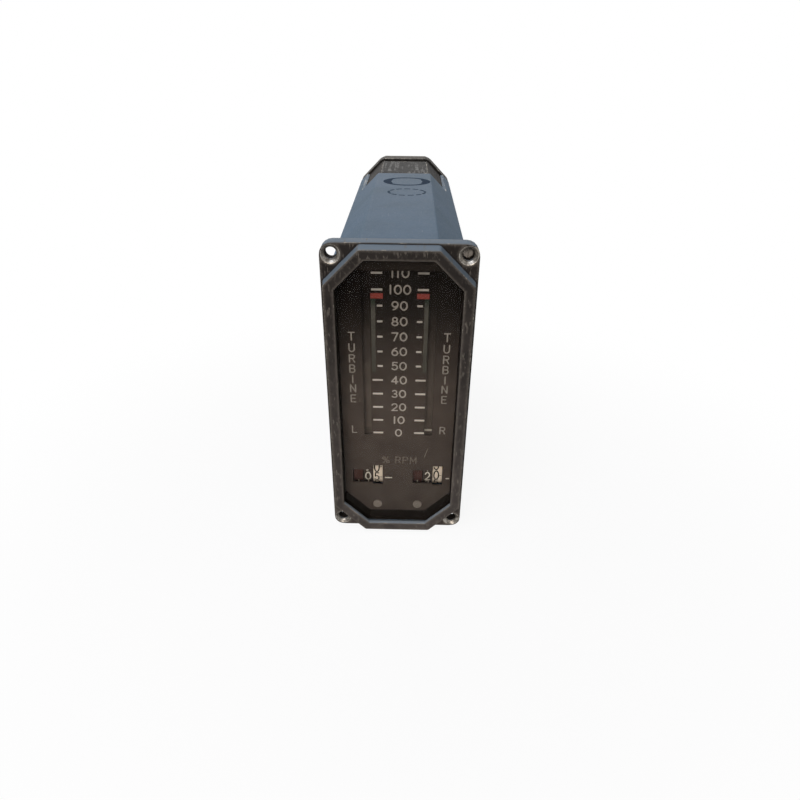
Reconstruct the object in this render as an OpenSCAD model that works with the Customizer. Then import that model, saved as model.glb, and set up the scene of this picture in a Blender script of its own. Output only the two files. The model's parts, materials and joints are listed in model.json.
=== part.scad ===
/* [Case] */
// Width across the case and its rim
case_w = 58; // [50:0.5:72]
// Height of the case and its rim
case_h = 136; // [115:0.5:165]
// Length from the flange's front face to the back of the rear cover
case_len = 207.7; // [172:0.1:260]
// Leg of the slanted corners of the case
case_corner = 14; // [11:0.5:14.5]
// Rounding of the case's long edges
case_edge_r = 1.4; // [0.5:0.1:2.5]
// Sheet thickness of the case sleeve
sleeve_t = 1.2; // [0.8:0.1:1.6]
// Length of the cut-out at the back of the sleeve
cutout_len = 50; // [30:1:60]
// How far the cut-out reaches down from the top of the case
cutout_drop = 9.7; // [4:0.1:13]
// Depth of the rear cover
cover_depth = 11.7; // [9:0.1:16]
// Rounding of the rear cover's corners
cover_edge_r = 4; // [1:0.5:6]
// Wall of the rear cover and of the rear frame
casting_wall = 2.2; // [1.6:0.1:3]
// Thickness of the rear cover's end wall
cover_end_t = 3; // [2:0.1:5]
// Length of the rear frame that carries the rear cover
rear_frame_len = 65.2; // [56:0.1:72]

/* [Bezel] */
// Thickness of the panel flange
flange_t = 6; // [4.5:0.5:8]
// How far the flange stands out past the case on each side
flange_margin = 1.25; // [0.5:0.05:4]
// Corner radius of the flange
flange_corner_r = 5; // [2:0.5:7]
// Distance from the flange's side edge to the fixing holes
hole_inset_x = 4.25; // [4:0.05:4.75]
// Distance from the flange's end edge to the fixing holes
hole_inset_z = 4.5; // [4:0.05:5]
// Diameter of the fixing holes
hole_d = 4.5; // [3:0.1:5]
// Diameter of the countersinks at the flange's face
countersink_d = 7.4; // [6:0.1:7.8]
// How far the rim stands in front of the flange
rim_proj = 5; // [4:0.1:8]
// Width of the rim around the window
rim_wall = 4.2; // [3.6:0.1:6]
// Thickness of the lip that holds the window
lip_t = 2; // [1:0.1:2.5]
// Wall between the pocket for the dial and the outside
pocket_wall = 2.4; // [2:0.1:3]
// Length of the collar that enters the sleeve
spigot_len = 5; // [3:0.5:10]

/* [Window and dial] */
// Thickness of the window gasket
gasket_t = 0.5; // [0.3:0.1:1]
// Thickness of the window glass
glass_t = 2; // [1.5:0.1:3]
// Depth of the spacer between the glass and the dial
spacer_len = 5; // [3:0.1:8]
// How far the shade hangs into the opening at the top
shade_drop = 5; // [1:0.1:6]
// Thickness of the dial plate
dial_t = 0.8; // [0.5:0.1:1.2]
// Height of the scale's zero mark above the bottom of the case
zero_height = 49.74; // [48:0.01:56]
// Distance from the scale's last mark to the top of the case
scale_top = 11.77; // [11:0.01:20]
// Distance from the side of the case to the middle of an index slot
slot_inset = 15.5; // [15:0.1:16.5]
// Width of the index slots
slot_w = 3.3; // [2:0.1:3.6]
// Height of the counters' axis above the bottom of the case
counter_height = 24.4; // [23.5:0.1:25]
// Distance of the dial screws from the middle
dial_screw_x = 9.6; // [6:0.1:14]
// Height of the dial screws above the bottom of the case
dial_screw_height = 8.4; // [7.5:0.1:9]

/* [Mechanism] */
// Thickness of the frame behind the dial
frame_t = 1.3; // [0.8:0.1:1.6]
// Thickness of the side plates
plate_t = 1.5; // [1:0.1:2]
// Thickness of the centre plate
centre_plate_t = 2; // [1.6:0.1:3]
// Space between a side plate and the sleeve
plate_gap = 4.5; // [4.2:0.1:5]
// Width of the index tapes
tape_w = 4; // [3.6:0.1:4.1]
// Thickness of the index tapes
tape_t = 0.25; // [0.15:0.05:0.4]
// Radius of the tape drums
tape_drum_r = 5; // [4:0.1:5]
// Height of an index mark
index_h = 0.9; // [0.5:0.1:2]
// Thickness of an index mark
index_t = 0.5; // [0.3:0.1:0.6]
// Radius of the shafts
shaft_r = 1.25; // [1:0.05:1.4]
// Radius of the counter drums
counter_drum_r = 8.8; // [8.2:0.1:9]
// Tooth size of the gears, as pitch diameter over tooth number
gear_module = 0.5; // [0.4:0.05:0.5]
// Teeth of the gear on a tape drum's shaft
tape_gear_teeth = 20; // [16:1:20]
// Teeth of the gear on a counter's shaft
counter_gear_teeth = 30; // [24:1:30]
// Teeth of the intermediate gears
middle_gear_teeth = 36; // [30:1:36]
// Teeth of the motor pinions
pinion_teeth = 12; // [10:1:14]
// Face width of the gears
gear_t = 2.5; // [1.5:0.1:2.6]
// Clearance between a servo motor and the bush beside it
motor_gap = 1.6; // [0.8:0.1:3]
// Length of the servo motors
motor_len = 11; // [8:0.1:11.5]
// Thickness of the circuit boards
board_t = 1.6; // [0.8:0.1:2]

/* [Rear connector] */
// Height of the connector below the middle of the case
connector_drop = 30; // [0:1:36]
// Outer radius of the connector shell
connector_r = 11; // [9:0.1:14]
// Wall of the connector shell
connector_wall = 1.4; // [1:0.1:2]
// Length of the connector behind the rear cover
connector_len = 14; // [13:0.1:20]
// Width of the connector's square flange
connector_flange_w = 28; // [27:0.5:34]
// Radius of a contact pin
pin_r = 0.5; // [0.3:0.05:0.8]

/* [Hidden] */
$fn = 48;

left = -1;
right = 1;
over = 1;
fit_gap = 0.1;
run_gap = 0.05;
side_gap = 0.15;
inner_edge_r = 0.5;
gasket_wall = 1.2;
rear_gasket_t = 0.8;
pressure_angle = 25;
addendum = 0.8;
dedendum = 1;
backlash = 0.04;
middle_gear_tilt = -10;

// Depths along Y, from the flange's front face
lip_back_y = -rim_proj + lip_t;
glass_front_y = lip_back_y + gasket_t;
glass_back_y = glass_front_y + glass_t;
dial_front_y = glass_back_y + spacer_len;
dial_back_y = dial_front_y + dial_t;
frame_back_y = dial_back_y + frame_t;
index_gap = 0.4;
drum_window_gap = 0.9;
gear_frame_gap = 0.3;
tape_front_y = frame_back_y + index_gap + index_t;
cover_front_y = case_len - cover_depth;
sleeve_back_y = cover_front_y - rear_gasket_t;
cutout_y = sleeve_back_y - cutout_len;
bulkhead_t = 3;
rear_frame_y = sleeve_back_y - rear_frame_len;
bulkhead_back_y = rear_frame_y + bulkhead_t;

// Heights
case_top = case_h / 2;
zero_z = -case_top + zero_height;
scale_top_z = case_top - scale_top;
counter_z = -case_top + counter_height;

// Places across the width
side_plate_x = case_w / 2 - sleeve_t - plate_gap - plate_t;
slot_x = case_w / 2 - slot_inset;
gear_x = 3;
gear_end_x = gear_x + gear_t;
drum_gear_gap = 1.6;
drum_plate_gap = 0.7;
counter_inner_x = gear_end_x + drum_gear_gap;
counter_outer_x = side_plate_x - drum_plate_gap;
drum_pitch = (counter_outer_x - counter_inner_x) / 3;
motor_x = side_plate_x - motor_len;

// Dial and front frame
slot_margin = 1.2;
small_window = [3.5, 4.2];
tall_window = [4.5, 6.8];
frame_slot_margin = [0.3, 2];
frame_window_margin = 0.4;
frame_window = [7, 8];
dial_screw_r = 1;
dial_screw_head_r = 2.1;
dial_screw_head_t = 0.7;

// Tape drive
tape_drop = 8.74;
tape_rise = 1.4;
drum_flange_h = 0.3;
tape_inner_r = tape_drum_r + fit_gap;
tape_outer_r = tape_inner_r + tape_t;
drum_flange_r = tape_outer_r + drum_flange_h;
drum_flange_t = 0.4;
drum_w = tape_w + 2 * (drum_flange_t + fit_gap);
tape_axis_y = tape_front_y + tape_outer_r;
tape_low_z = zero_z - tape_drop;
tape_high_z = scale_top_z + tape_rise;
tape_axis = [tape_axis_y, tape_low_z];
tape_idler_axis = [tape_axis_y, tape_high_z];
index_w = slot_w + 0.3;
pulley_stud_r = 2;
stud_head_r = 2.2;
stud_head_t = 0.8;

// Gear axes, each as a point in the Y-Z plane
function centre_distance(a, b) = gear_module * (a + b) / 2;
function along(from, angle, distance) = from + distance * [cos(angle), sin(angle)];
function tip_r(teeth) = gear_module * (teeth / 2 + addendum);
counter_axis_y = max(
    dial_back_y + drum_window_gap + counter_drum_r,
    frame_back_y + gear_frame_gap + tip_r(counter_gear_teeth)
);
counter_axis = [counter_axis_y, counter_z];
tape_middle_axis = along(tape_axis, 0, centre_distance(tape_gear_teeth, middle_gear_teeth));
tape_pinion_axis = along(tape_middle_axis, 0, centre_distance(middle_gear_teeth, pinion_teeth));
counter_middle_axis = along(
    counter_axis, middle_gear_tilt, centre_distance(counter_gear_teeth, middle_gear_teeth)
);
counter_pinion_axis = along(
    counter_middle_axis, 0, centre_distance(middle_gear_teeth, pinion_teeth)
);
shaft_axes = [tape_axis, tape_middle_axis, counter_axis, counter_middle_axis];

// Turn of a gear's mate: the mate has a gap where the gear has a tooth
function mate_turn(turn, teeth, mate_teeth, direction) =
    direction + 180 + 180 / mate_teeth - teeth / mate_teeth * (turn - direction);
tape_middle_turn = mate_turn(0, tape_gear_teeth, middle_gear_teeth, 0);
tape_pinion_turn = mate_turn(tape_middle_turn, middle_gear_teeth, pinion_teeth, 0);
counter_middle_turn = mate_turn(0, counter_gear_teeth, middle_gear_teeth, middle_gear_tilt);
counter_pinion_turn = mate_turn(counter_middle_turn, middle_gear_teeth, pinion_teeth, 0);

bush_r = 2.4;
bush_lip = 0.4;
motor_r = centre_distance(middle_gear_teeth, pinion_teeth) - bush_r - motor_gap;
motor_boss_r = 3;
motor_boss_t = 0.8;
motor_shaft_r = 1;
motor_shaft_grip = 4;
motor_shaft_play = 0.5;
drum_rim_t = 1;
drum_web_t = 1;
drum_web_inset = 0.5;
drum_hub_r = 3;

// Plates and the posts between them
plate_edge_gap = 0.3;
plate_half_h = case_w / 2 + case_top - case_corner - sqrt(2) * (pocket_wall + plate_edge_gap)
    - side_plate_x - plate_t;
centre_edge_gap = 1.6;
centre_window_inset = [10, 14];
plate_window_r = 4;
side_window_inset = [6, 20];
side_window_low = 6;
side_window_high = 10;
post_r = 2;
post_inset = [12, 7];
upper_post = [22.5, 38];
lower_post_gap = 19;
post_places = [
    [upper_post.x, case_top - upper_post.y],
    [rear_frame_y - post_inset.x, plate_half_h - post_inset.y],
    [rear_frame_y - post_inset.x, post_inset.y - plate_half_h],
    [counter_pinion_axis.x + lower_post_gap, post_inset.y - plate_half_h]
];

// Potentiometers
pot_r = 6;
pot_t = 3.2;
pot_bore = 2.6;
pot_terminal = [4, 1.2, 0.6];
pot_terminal_pitch = 3;
pot_terminal_x = 1;
pot_shaft_grip = 2.2;

// Circuit boards and what stands on them, each as length and radius
board_x = 8;
board_y = [27, rear_frame_y - 8];
board_z = [zero_z + 6.3, case_top - 24];
board_pitch = 16;
board_inset = [12, 10];
standoff_inset = 4;
transistor = [4, 2.3];
transistor_inset = [10, 12];
resistor = [9, 1.5];
resistor_z = 22;
small_capacitor = [8, 3.6];
small_capacitor_z = 24;
power_capacitor = [14, 6.5];
power_board_gap = 2;
power_board_inset = 24;
relay = [5, 9, 7];
core = [22, 12, 20];
bobbin = [13, 7, 12];
core_gap = 13;

// Rear frame, cover and data plate
cover_screw_inset = [8, 19];
cover_screw_x = case_w / 2 - cover_screw_inset.x;
cover_screw_z = case_top - cover_screw_inset.y;
cover_screws = [for (x = [-1, 1], z = [-1, 0, 1]) [x * cover_screw_x, z * cover_screw_z]];
screw_r = 1.4;
screw_head_r = 2.6;
screw_head_t = 1.6;
screw_bottom_gap = 1;
boss_r = 3.2;
boss_len = 12;
boss_floor = 2;
boss_rib = [6, 2.4];
cable_window = [28, 50, 3];
label_edge_gap = 1.2;
label_end_gap = [4, 5];
label_t = 0.5;
connector_z = -connector_drop;
connector_screw_pitch = connector_flange_w - 6;
connector_corner_r = 3;
connector_flange_t = 2.5;
connector_screw_head = [1.2, 2.2];
lug_r = 1.1;
lug_h = 1;
lug_inset = 4;
insert_step = 2;
pin_len = 4;
pin_ring_step = 0.38;
insert_back_y = case_len + connector_flange_t + insert_step;
pin_tip_y = insert_back_y + pin_len;

/* Outlines and placing */

// The eight corners of the case's outline, drawn in by an inset
function octagon(inset) =
    let (
        w = case_w / 2 - inset,
        h = case_top - inset,
        c = case_corner - inset * (2 - sqrt(2))
    )
    [
        [w, c - h], [w, h - c], [w - c, h], [c - w, h],
        [-w, h - c], [-w, c - h], [c - w, -h], [w - c, -h]
    ];

function rectangle(w, h) = [[w / 2, -h / 2], [w / 2, h / 2], [-w / 2, h / 2], [-w / 2, -h / 2]];

function unit(v) = v / norm(v);

// A convex outline with each corner turned into an arc
function rounded(points, r, steps = 5) = [
    for (i = [0:len(points) - 1])
        let (
            n = len(points),
            p = points[i],
            back = unit(points[(i + n - 1) % n] - p),
            ahead = unit(points[(i + 1) % n] - p),
            half = acos(back * ahead) / 2,
            centre = p + unit(back + ahead) * r / sin(half),
            start = p + back * r / tan(half) - centre,
            first = atan2(start.y, start.x)
        )
        for (k = [0:steps]) let (a = first + (180 - 2 * half) * k / steps)
            centre + r * [cos(a), sin(a)]
];

module case_outline(inset, r) polygon(rounded(octagon(inset), r));

module rectangle_outline(w, h, r) polygon(rounded(rectangle(w, h), r));

// Extrudes an X-Z outline from one depth to another
module fore_aft(y0, y1) translate([0, y1, 0]) rotate([90, 0, 0]) linear_extrude(y1 - y0) children();

// Extrudes a Y-Z outline from one X to another, about an axis
module across(x0, x1, axis = [0, 0])
    translate([min(x0, x1), axis.x, axis.y]) rotate([90, 0, 90]) linear_extrude(abs(x1 - x0))
        children();

module rod(x0, x1, axis, r) across(x0, x1, axis) circle(r);

// A round piece along Y, at a place in the X-Z plane
module round_y(y0, y1, place, r) translate([place.x, y0, place.y]) rotate([-90, 0, 0])
    cylinder(h = y1 - y0, r = r);

function corners(dx, dz) = [for (x = [-1, 1], z = [-1, 1]) [x * dx, z * dz]];

/* Gears */

function involute(a) = tan(a) * 180 / PI - a;

// Half of a tooth's angle at a radius
function tooth_half(teeth, radius) =
    let (
        pitch_r = gear_module * teeth / 2,
        base_r = pitch_r * cos(pressure_angle),
        slope = acos(min(1, base_r / max(radius, base_r)))
    )
    90 / teeth - backlash / pitch_r * 180 / PI + involute(pressure_angle) - involute(slope);

module gear_outline(teeth, turn) {
    pitch_r = gear_module * teeth / 2;
    root = pitch_r - dedendum * gear_module;
    radii = [for (i = [0:3]) root + (tip_r(teeth) - root) * i / 3];
    polygon([
        for (k = [0:teeth - 1], side = [-1, 1], i = [0:3])
            let (
                r = radii[side < 0 ? i : 3 - i],
                a = turn + k * 360 / teeth + side * tooth_half(teeth, r)
            )
            r * [cos(a), sin(a)]
    ]);
}

// A gear in its layer next to the centre plate
module gear(side, axis, teeth, turn)
    across(side * gear_x, side * gear_end_x, axis) gear_outline(teeth, turn);

/* Front end */

module front_bezel() {
    hole_x = case_w / 2 + flange_margin - hole_inset_x;
    hole_z = case_top + flange_margin - hole_inset_z;
    countersink_depth = (countersink_d - hole_d) / 2;
    color("#35312f") difference() {
        union() {
            fore_aft(0, flange_t) rectangle_outline(
                case_w + 2 * flange_margin, case_h + 2 * flange_margin, flange_corner_r
            );
            fore_aft(-rim_proj, flange_t / 2) case_outline(0, case_edge_r);
            fore_aft(flange_t / 2, flange_t + spigot_len)
                case_outline(sleeve_t + fit_gap, inner_edge_r);
        }
        fore_aft(-rim_proj - over, lip_back_y + over) case_outline(rim_wall, inner_edge_r);
        fore_aft(lip_back_y, flange_t + spigot_len + over) case_outline(pocket_wall, inner_edge_r);
        for (p = corners(hole_x, hole_z)) {
            round_y(-over, flange_t + over, p, hole_d / 2);
            translate([p.x, 0, p.y]) rotate([-90, 0, 0])
                cylinder(h = countersink_depth, r1 = countersink_d / 2, r2 = hole_d / 2);
        }
    }
}

module window_gasket() color("#1c1b1a") fore_aft(lip_back_y, glass_front_y) difference() {
    case_outline(pocket_wall + fit_gap, inner_edge_r);
    case_outline(pocket_wall + fit_gap + gasket_wall, inner_edge_r);
}

module window_glass() color("#a8b4b8", 0.3)
    fore_aft(glass_front_y, glass_back_y) case_outline(pocket_wall + fit_gap, inner_edge_r);

// A ring that keeps the dial off the glass, with a shade across its top
module dial_spacer() color("#1a1817") fore_aft(glass_back_y, dial_front_y) difference() {
    case_outline(pocket_wall + fit_gap, inner_edge_r);
    intersection() {
        case_outline(rim_wall, inner_edge_r);
        translate([-case_w / 2, -case_h - rim_wall - shade_drop + case_top])
            square([case_w, case_h]);
    }
}

// Left edge of a counter drum: 0 is hundreds, 1 tens, 2 units
function drum_x(side, place) =
    (side > 0 ? counter_inner_x : -counter_outer_x) + place * drum_pitch;

// A slot for each index, a low window for two drums and a tall one for the third
module dial_openings() for (side = [left, right]) {
    translate([side * slot_x - slot_w / 2, zero_z - slot_margin])
        square([slot_w, scale_top_z - zero_z + 2 * slot_margin]);
    translate([drum_x(side, 0), counter_z - small_window[0]])
        square([2 * drum_pitch, small_window[0] + small_window[1]]);
    translate([drum_x(side, 2), counter_z - tall_window[0]])
        square([drum_pitch, tall_window[0] + tall_window[1]]);
}

function dial_screw_places() =
    [for (x = [-1, 1]) [x * dial_screw_x, dial_screw_height - case_top]];

module dial_plate() color("#3a322e") difference() {
    fore_aft(dial_front_y, dial_back_y) difference() {
        case_outline(pocket_wall + fit_gap, inner_edge_r);
        dial_openings();
    }
    for (p = dial_screw_places())
        round_y(dial_front_y - over, dial_back_y + over, p, dial_screw_r);
}

module dial_screws() color("#77736c") for (p = dial_screw_places()) {
    round_y(dial_front_y - dial_screw_head_t, dial_front_y, p, dial_screw_head_r);
    round_y(dial_front_y, frame_back_y, p, dial_screw_r);
}

/* Mechanism frame */

module front_frame() color("#8f9092") difference() {
    fore_aft(dial_back_y, frame_back_y) difference() {
        case_outline(pocket_wall + fit_gap, inner_edge_r);
        for (side = [left, right]) {
            translate([
                side * slot_x - drum_w / 2 - frame_slot_margin.x, tape_low_z - frame_slot_margin.y
            ]) square([
                drum_w + 2 * frame_slot_margin.x,
                tape_high_z - tape_low_z + 2 * frame_slot_margin.y
            ]);
            translate([drum_x(side, 0) - frame_window_margin, counter_z - frame_window[0]])
                square([
                    3 * drum_pitch + 2 * frame_window_margin, frame_window[0] + frame_window[1]
                ]);
        }
    }
    for (p = dial_screw_places())
        round_y(dial_back_y - over, frame_back_y + over, p, dial_screw_r);
}

// A window with round corners in a plate, given by its two spans
module plate_window(y, z) translate([(y[0] + y[1]) / 2, (z[0] + z[1]) / 2])
    rectangle_outline(y[1] - y[0], z[1] - z[0], plate_window_r);

module centre_plate() {
    half_h = case_top - sleeve_t - centre_edge_gap;
    color("#9a9b9c") difference() {
        across(-centre_plate_t / 2, centre_plate_t / 2) difference() {
            translate([frame_back_y, -half_h]) square([rear_frame_y - frame_back_y, 2 * half_h]);
            plate_window(
                [board_y[0] + centre_window_inset.x, board_y[1] - centre_window_inset.x],
                [board_z[0] + centre_window_inset.y, board_z[1] - centre_window_inset.y]
            );
        }
        for (axis = shaft_axes) rod(-centre_plate_t, centre_plate_t, axis, bush_r);
    }
}

module side_plate(side) {
    color("#9a9b9c") difference() {
        across(side * side_plate_x, side * (side_plate_x + plate_t)) difference() {
            translate([frame_back_y, -plate_half_h])
                square([rear_frame_y - frame_back_y, 2 * plate_half_h]);
            plate_window(
                [
                    tape_pinion_axis.x + motor_r + side_window_inset[0],
                    rear_frame_y - side_window_inset[1]
                ],
                [board_z[0] + side_window_low, board_z[1] - side_window_high]
            );
        }
        for (axis = shaft_axes)
            rod(side * (side_plate_x - over), side * (side_plate_x + plate_t + over), axis, bush_r);
    }
}

module frame_posts() color("#b9babb") for (side = [left, right], p = post_places)
    rod(side * centre_plate_t / 2, side * side_plate_x, p, post_r);

module shaft_bushes() {
    inner = centre_plate_t / 2 + bush_lip;
    color("#b08d4a") for (axis = shaft_axes) {
        difference() {
            rod(-inner, inner, axis, bush_r);
            rod(-inner - over, inner + over, axis, shaft_r + run_gap);
        }
        for (side = [left, right]) difference() {
            rod(side * (side_plate_x - bush_lip), side * (side_plate_x + plate_t), axis, bush_r);
            rod(side * (side_plate_x - over), side * (side_plate_x + plate_t + over), axis,
                shaft_r + run_gap);
        }
    }
}

/* Tape drive */

module index(side) color("#e6e1d6")
    translate([side * slot_x - index_w / 2, tape_front_y - index_t, zero_z - index_h / 2])
        cube([index_w, index_t, index_h]);

module tape_loop(r) {
    for (axis = [tape_axis, tape_idler_axis]) translate(axis) circle(r);
    translate([tape_axis.x - r, tape_low_z]) square([2 * r, tape_high_z - tape_low_z]);
}

module tape(side) color("#1b1a19")
    across(side * slot_x - tape_w / 2, side * slot_x + tape_w / 2) difference() {
        tape_loop(tape_outer_r);
        tape_loop(tape_inner_r);
    }

// A drum whose two thin flanges guide the tape
module flanged_drum(side, axis, bore_r) {
    x0 = side * slot_x - drum_w / 2;
    x1 = side * slot_x + drum_w / 2;
    difference() {
        union() {
            rod(x0, x1, axis, tape_drum_r);
            rod(x0, x0 + drum_flange_t, axis, drum_flange_r);
            rod(x1 - drum_flange_t, x1, axis, drum_flange_r);
        }
        rod(x0 - over, x1 + over, axis, bore_r);
    }
}

module tape_drum(side) color("#3b3b3d") flanged_drum(side, tape_axis, shaft_r);

module idler_pulley(side) color("#3b3b3d") flanged_drum(side, tape_idler_axis, shaft_r + run_gap);

// The shaft reaches through the side plate into the potentiometer
module tape_shaft(side) color("#c9a75c") {
    rod(side * side_gap, side * (side_plate_x + plate_t + pot_shaft_grip), tape_axis, shaft_r);
    gear(side, tape_axis, tape_gear_teeth, 0);
}

module idler_studs() color("#a5a6a8") for (side = [left, right]) {
    inner_x = slot_x - drum_w / 2 - side_gap;
    outer_x = slot_x + drum_w / 2 + side_gap;
    rod(side * centre_plate_t / 2, side * inner_x, tape_idler_axis, pulley_stud_r);
    rod(side * inner_x, side * outer_x, tape_idler_axis, shaft_r);
    rod(side * outer_x, side * (outer_x + stud_head_t), tape_idler_axis, stud_head_r);
}

module spindle_gear(side, axis, turn) color("#c9a75c") {
    rod(side * side_gap, side * (side_plate_x + plate_t - side_gap), axis, shaft_r);
    gear(side, axis, middle_gear_teeth, turn);
}

module pinion(side, axis, turn) color("#a9a9a6") {
    rod(side * gear_x, side * (motor_x + motor_shaft_grip), axis, motor_shaft_r);
    gear(side, axis, pinion_teeth, turn);
}

module motor(side, axis) color("#6f7377") difference() {
    union() {
        rod(side * motor_x, side * side_plate_x, axis, motor_r);
        rod(side * (motor_x - motor_boss_t), side * motor_x, axis, motor_boss_r);
    }
    rod(side * (motor_x - over - motor_boss_t),
        side * (motor_x + motor_shaft_grip + motor_shaft_play), axis, motor_shaft_r + run_gap);
}

// A thin potentiometer on the outside of the side plate, with three terminals
module potentiometer(side) {
    x0 = side_plate_x + plate_t;
    color("#2f4a3a") difference() {
        union() {
            rod(side * x0, side * (x0 + pot_t), tape_axis, pot_r);
            for (k = [-1:1])
                across(side * (x0 + pot_terminal_x), side * (x0 + pot_terminal_x + pot_terminal.z),
                    tape_axis)
                    translate([pot_r - over, k * pot_terminal_pitch - pot_terminal.y / 2])
                        square([pot_terminal.x, pot_terminal.y]);
        }
        rod(side * (x0 - over), side * (x0 + pot_bore), tape_axis, shaft_r + run_gap);
    }
}

/* Counters */

module counter_drum(side, place, bore_r) {
    x0 = drum_x(side, place) + side_gap;
    x1 = x0 + drum_pitch - 2 * side_gap;
    middle = (x0 + x1) / 2;
    difference() {
        union() {
            difference() {
                rod(x0, x1, counter_axis, counter_drum_r);
                rod(x0 - over, x1 + over, counter_axis, counter_drum_r - drum_rim_t);
            }
            rod(middle - drum_web_t / 2, middle + drum_web_t / 2, counter_axis,
                counter_drum_r - drum_web_inset);
            rod(x0, x1, counter_axis, drum_hub_r);
        }
        rod(x0 - over, x1 + over, counter_axis, bore_r);
    }
}

module units_drum(side) color("#c8baa2") counter_drum(side, 2, shaft_r);

module tens_drum(side) color("#211f1e") counter_drum(side, 1, shaft_r + run_gap);

module hundreds_drum(side) color("#3d2320") counter_drum(side, 0, shaft_r + run_gap);

module counter_shaft(side) color("#c9a75c") {
    rod(side * side_gap, side * (side_plate_x + plate_t - side_gap), counter_axis, shaft_r);
    gear(side, counter_axis, counter_gear_teeth, 0);
}

/* Electronics */

// A board with transistor cans, capacitors and resistors on its outer face
module amplifier_board(side) {
    x = board_x + board_t;
    last_y = board_y[1] - board_inset[1];
    columns = [board_y[0] + board_inset[0]:board_pitch:last_y];
    between = [board_y[0] + board_inset[0] + board_pitch / 2:board_pitch:last_y];
    color("#4a5a32") across(side * board_x, side * x) translate([board_y[0], board_z[0]])
        square([board_y[1] - board_y[0], board_z[1] - board_z[0]]);
    color("#8b8c8e")
        for (y = columns, z = [board_z[0] + transistor_inset[0], board_z[1] - transistor_inset[1]])
            rod(side * x, side * (x + transistor[0]), [y, z], transistor[1]);
    color("#a06a3c") for (y = between)
        translate([side * (x + resistor[1] - fit_gap), y, board_z[0] + resistor_z])
            cylinder(h = resistor[0], r = resistor[1]);
    color("#30405c") for (y = between)
        rod(side * x, side * (x + small_capacitor[0]), [y, board_z[1] - small_capacitor_z],
            small_capacitor[1]);
}

module board_standoffs() color("#b9babb")
    for (
        side = [left, right],
        y = [board_y[0] + standoff_inset, board_y[1] - standoff_inset],
        z = [board_z[0] + standoff_inset, board_z[1] - standoff_inset]
    )
        rod(side * centre_plate_t / 2, side * board_x, [y, z], post_r);

module power_board() {
    x0 = -case_w / 4;
    y1 = sleeve_back_y - boss_len - power_board_gap;
    half_z = case_top - power_board_inset;
    color("#4a5a32") across(x0, x0 + board_t) translate([bulkhead_back_y, -half_z])
        square([y1 - bulkhead_back_y, 2 * half_z]);
    color("#8a8d92") for (z = [-0.4, 0.1, 0.6])
        rod(x0 + board_t, x0 + board_t + power_capacitor[0],
            [bulkhead_back_y + 2 * power_capacitor[1] + fit_gap, z * half_z], power_capacitor[1]);
    color("#2b2b2c") for (z = [-0.15:0.25:0.6])
        translate([x0 + board_t, bulkhead_back_y + 4 * power_capacitor[1] + power_board_gap,
            z * half_z]) cube(relay);
}

module transformer() {
    floor_z = -case_top + sleeve_t + fit_gap + casting_wall;
    y0 = bulkhead_back_y + core_gap;
    color("#55504a") translate([-core.x / 2, y0, floor_z]) cube(core);
    color("#8c5a35") for (y = [y0 - bobbin.y, y0 + core.y])
        translate([-bobbin.x / 2, y, floor_z + (core.z - bobbin.z) / 2]) cube(bobbin);
}

/* Rear end */

module rear_frame() {
    outer = sleeve_t + fit_gap;
    color("#2a2827") difference() {
        union() {
            difference() {
                fore_aft(rear_frame_y, sleeve_back_y) case_outline(outer, inner_edge_r);
                fore_aft(bulkhead_back_y, sleeve_back_y + over)
                    case_outline(outer + casting_wall, inner_edge_r);
            }
            intersection() {
                fore_aft(sleeve_back_y - boss_len, sleeve_back_y)
                    case_outline(outer + casting_wall / 2, inner_edge_r);
                for (p = cover_screws) union() {
                    round_y(sleeve_back_y - boss_len, sleeve_back_y, p, boss_r);
                    translate([
                        p.x > 0 ? p.x : p.x - boss_r - boss_rib[0],
                        sleeve_back_y - boss_len, p.y - boss_rib[1] / 2
                    ]) cube([boss_r + boss_rib[0], boss_len, boss_rib[1]]);
                }
            }
        }
        for (p = cover_screws)
            round_y(sleeve_back_y - boss_len + boss_floor, sleeve_back_y + over, p, screw_r);
        fore_aft(rear_frame_y - over, bulkhead_back_y + over)
            rectangle_outline(cable_window[0], cable_window[1], cable_window[2]);
    }
}

// A tube with eight slanted sides, cut out at the back of its top
module case_sleeve() color("#6b7a88") difference() {
    fore_aft(flange_t, sleeve_back_y) difference() {
        case_outline(0, case_edge_r);
        case_outline(sleeve_t, inner_edge_r);
    }
    translate([-case_w / 2, cutout_y, case_top - cutout_drop]) cube([case_w, case_len, case_h]);
}

// A plain plate in the cut-out
module data_plate() {
    half_w = case_w / 2 - case_corner - label_edge_gap;
    color("#191817")
        translate([-half_w, cutout_y + label_end_gap[0], case_top - sleeve_t - fit_gap])
            cube([2 * half_w, cutout_len - label_end_gap[0] - label_end_gap[1], label_t]);
}

module rear_gasket() color("#1c1b1a") fore_aft(sleeve_back_y, cover_front_y) difference() {
    case_outline(fit_gap, cover_edge_r);
    case_outline(sleeve_t + fit_gap + casting_wall, inner_edge_r);
}

module rear_cover() color("#4b4743") difference() {
    union() {
        difference() {
            fore_aft(cover_front_y, case_len) case_outline(0, cover_edge_r);
            fore_aft(cover_front_y - over, case_len - cover_end_t)
                case_outline(sleeve_t + fit_gap + casting_wall, inner_edge_r);
        }
        for (p = cover_screws) round_y(sleeve_back_y, case_len - cover_end_t + over, p, boss_r);
    }
    for (p = cover_screws) round_y(sleeve_back_y - over, case_len + over, p, screw_r + fit_gap);
    round_y(case_len - cover_end_t - over, case_len + over, [0, connector_z],
        connector_r - connector_wall);
    for (p = corners(connector_screw_pitch / 2, connector_screw_pitch / 2))
        round_y(case_len - cover_end_t - over, case_len + over, p + [0, connector_z], screw_r);
}

module rear_cover_screws() color("#8d8f91") for (p = cover_screws) {
    round_y(case_len, case_len + screw_head_t, p, screw_head_r);
    round_y(sleeve_back_y - boss_len + boss_floor + screw_bottom_gap, case_len, p, screw_r);
}

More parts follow.
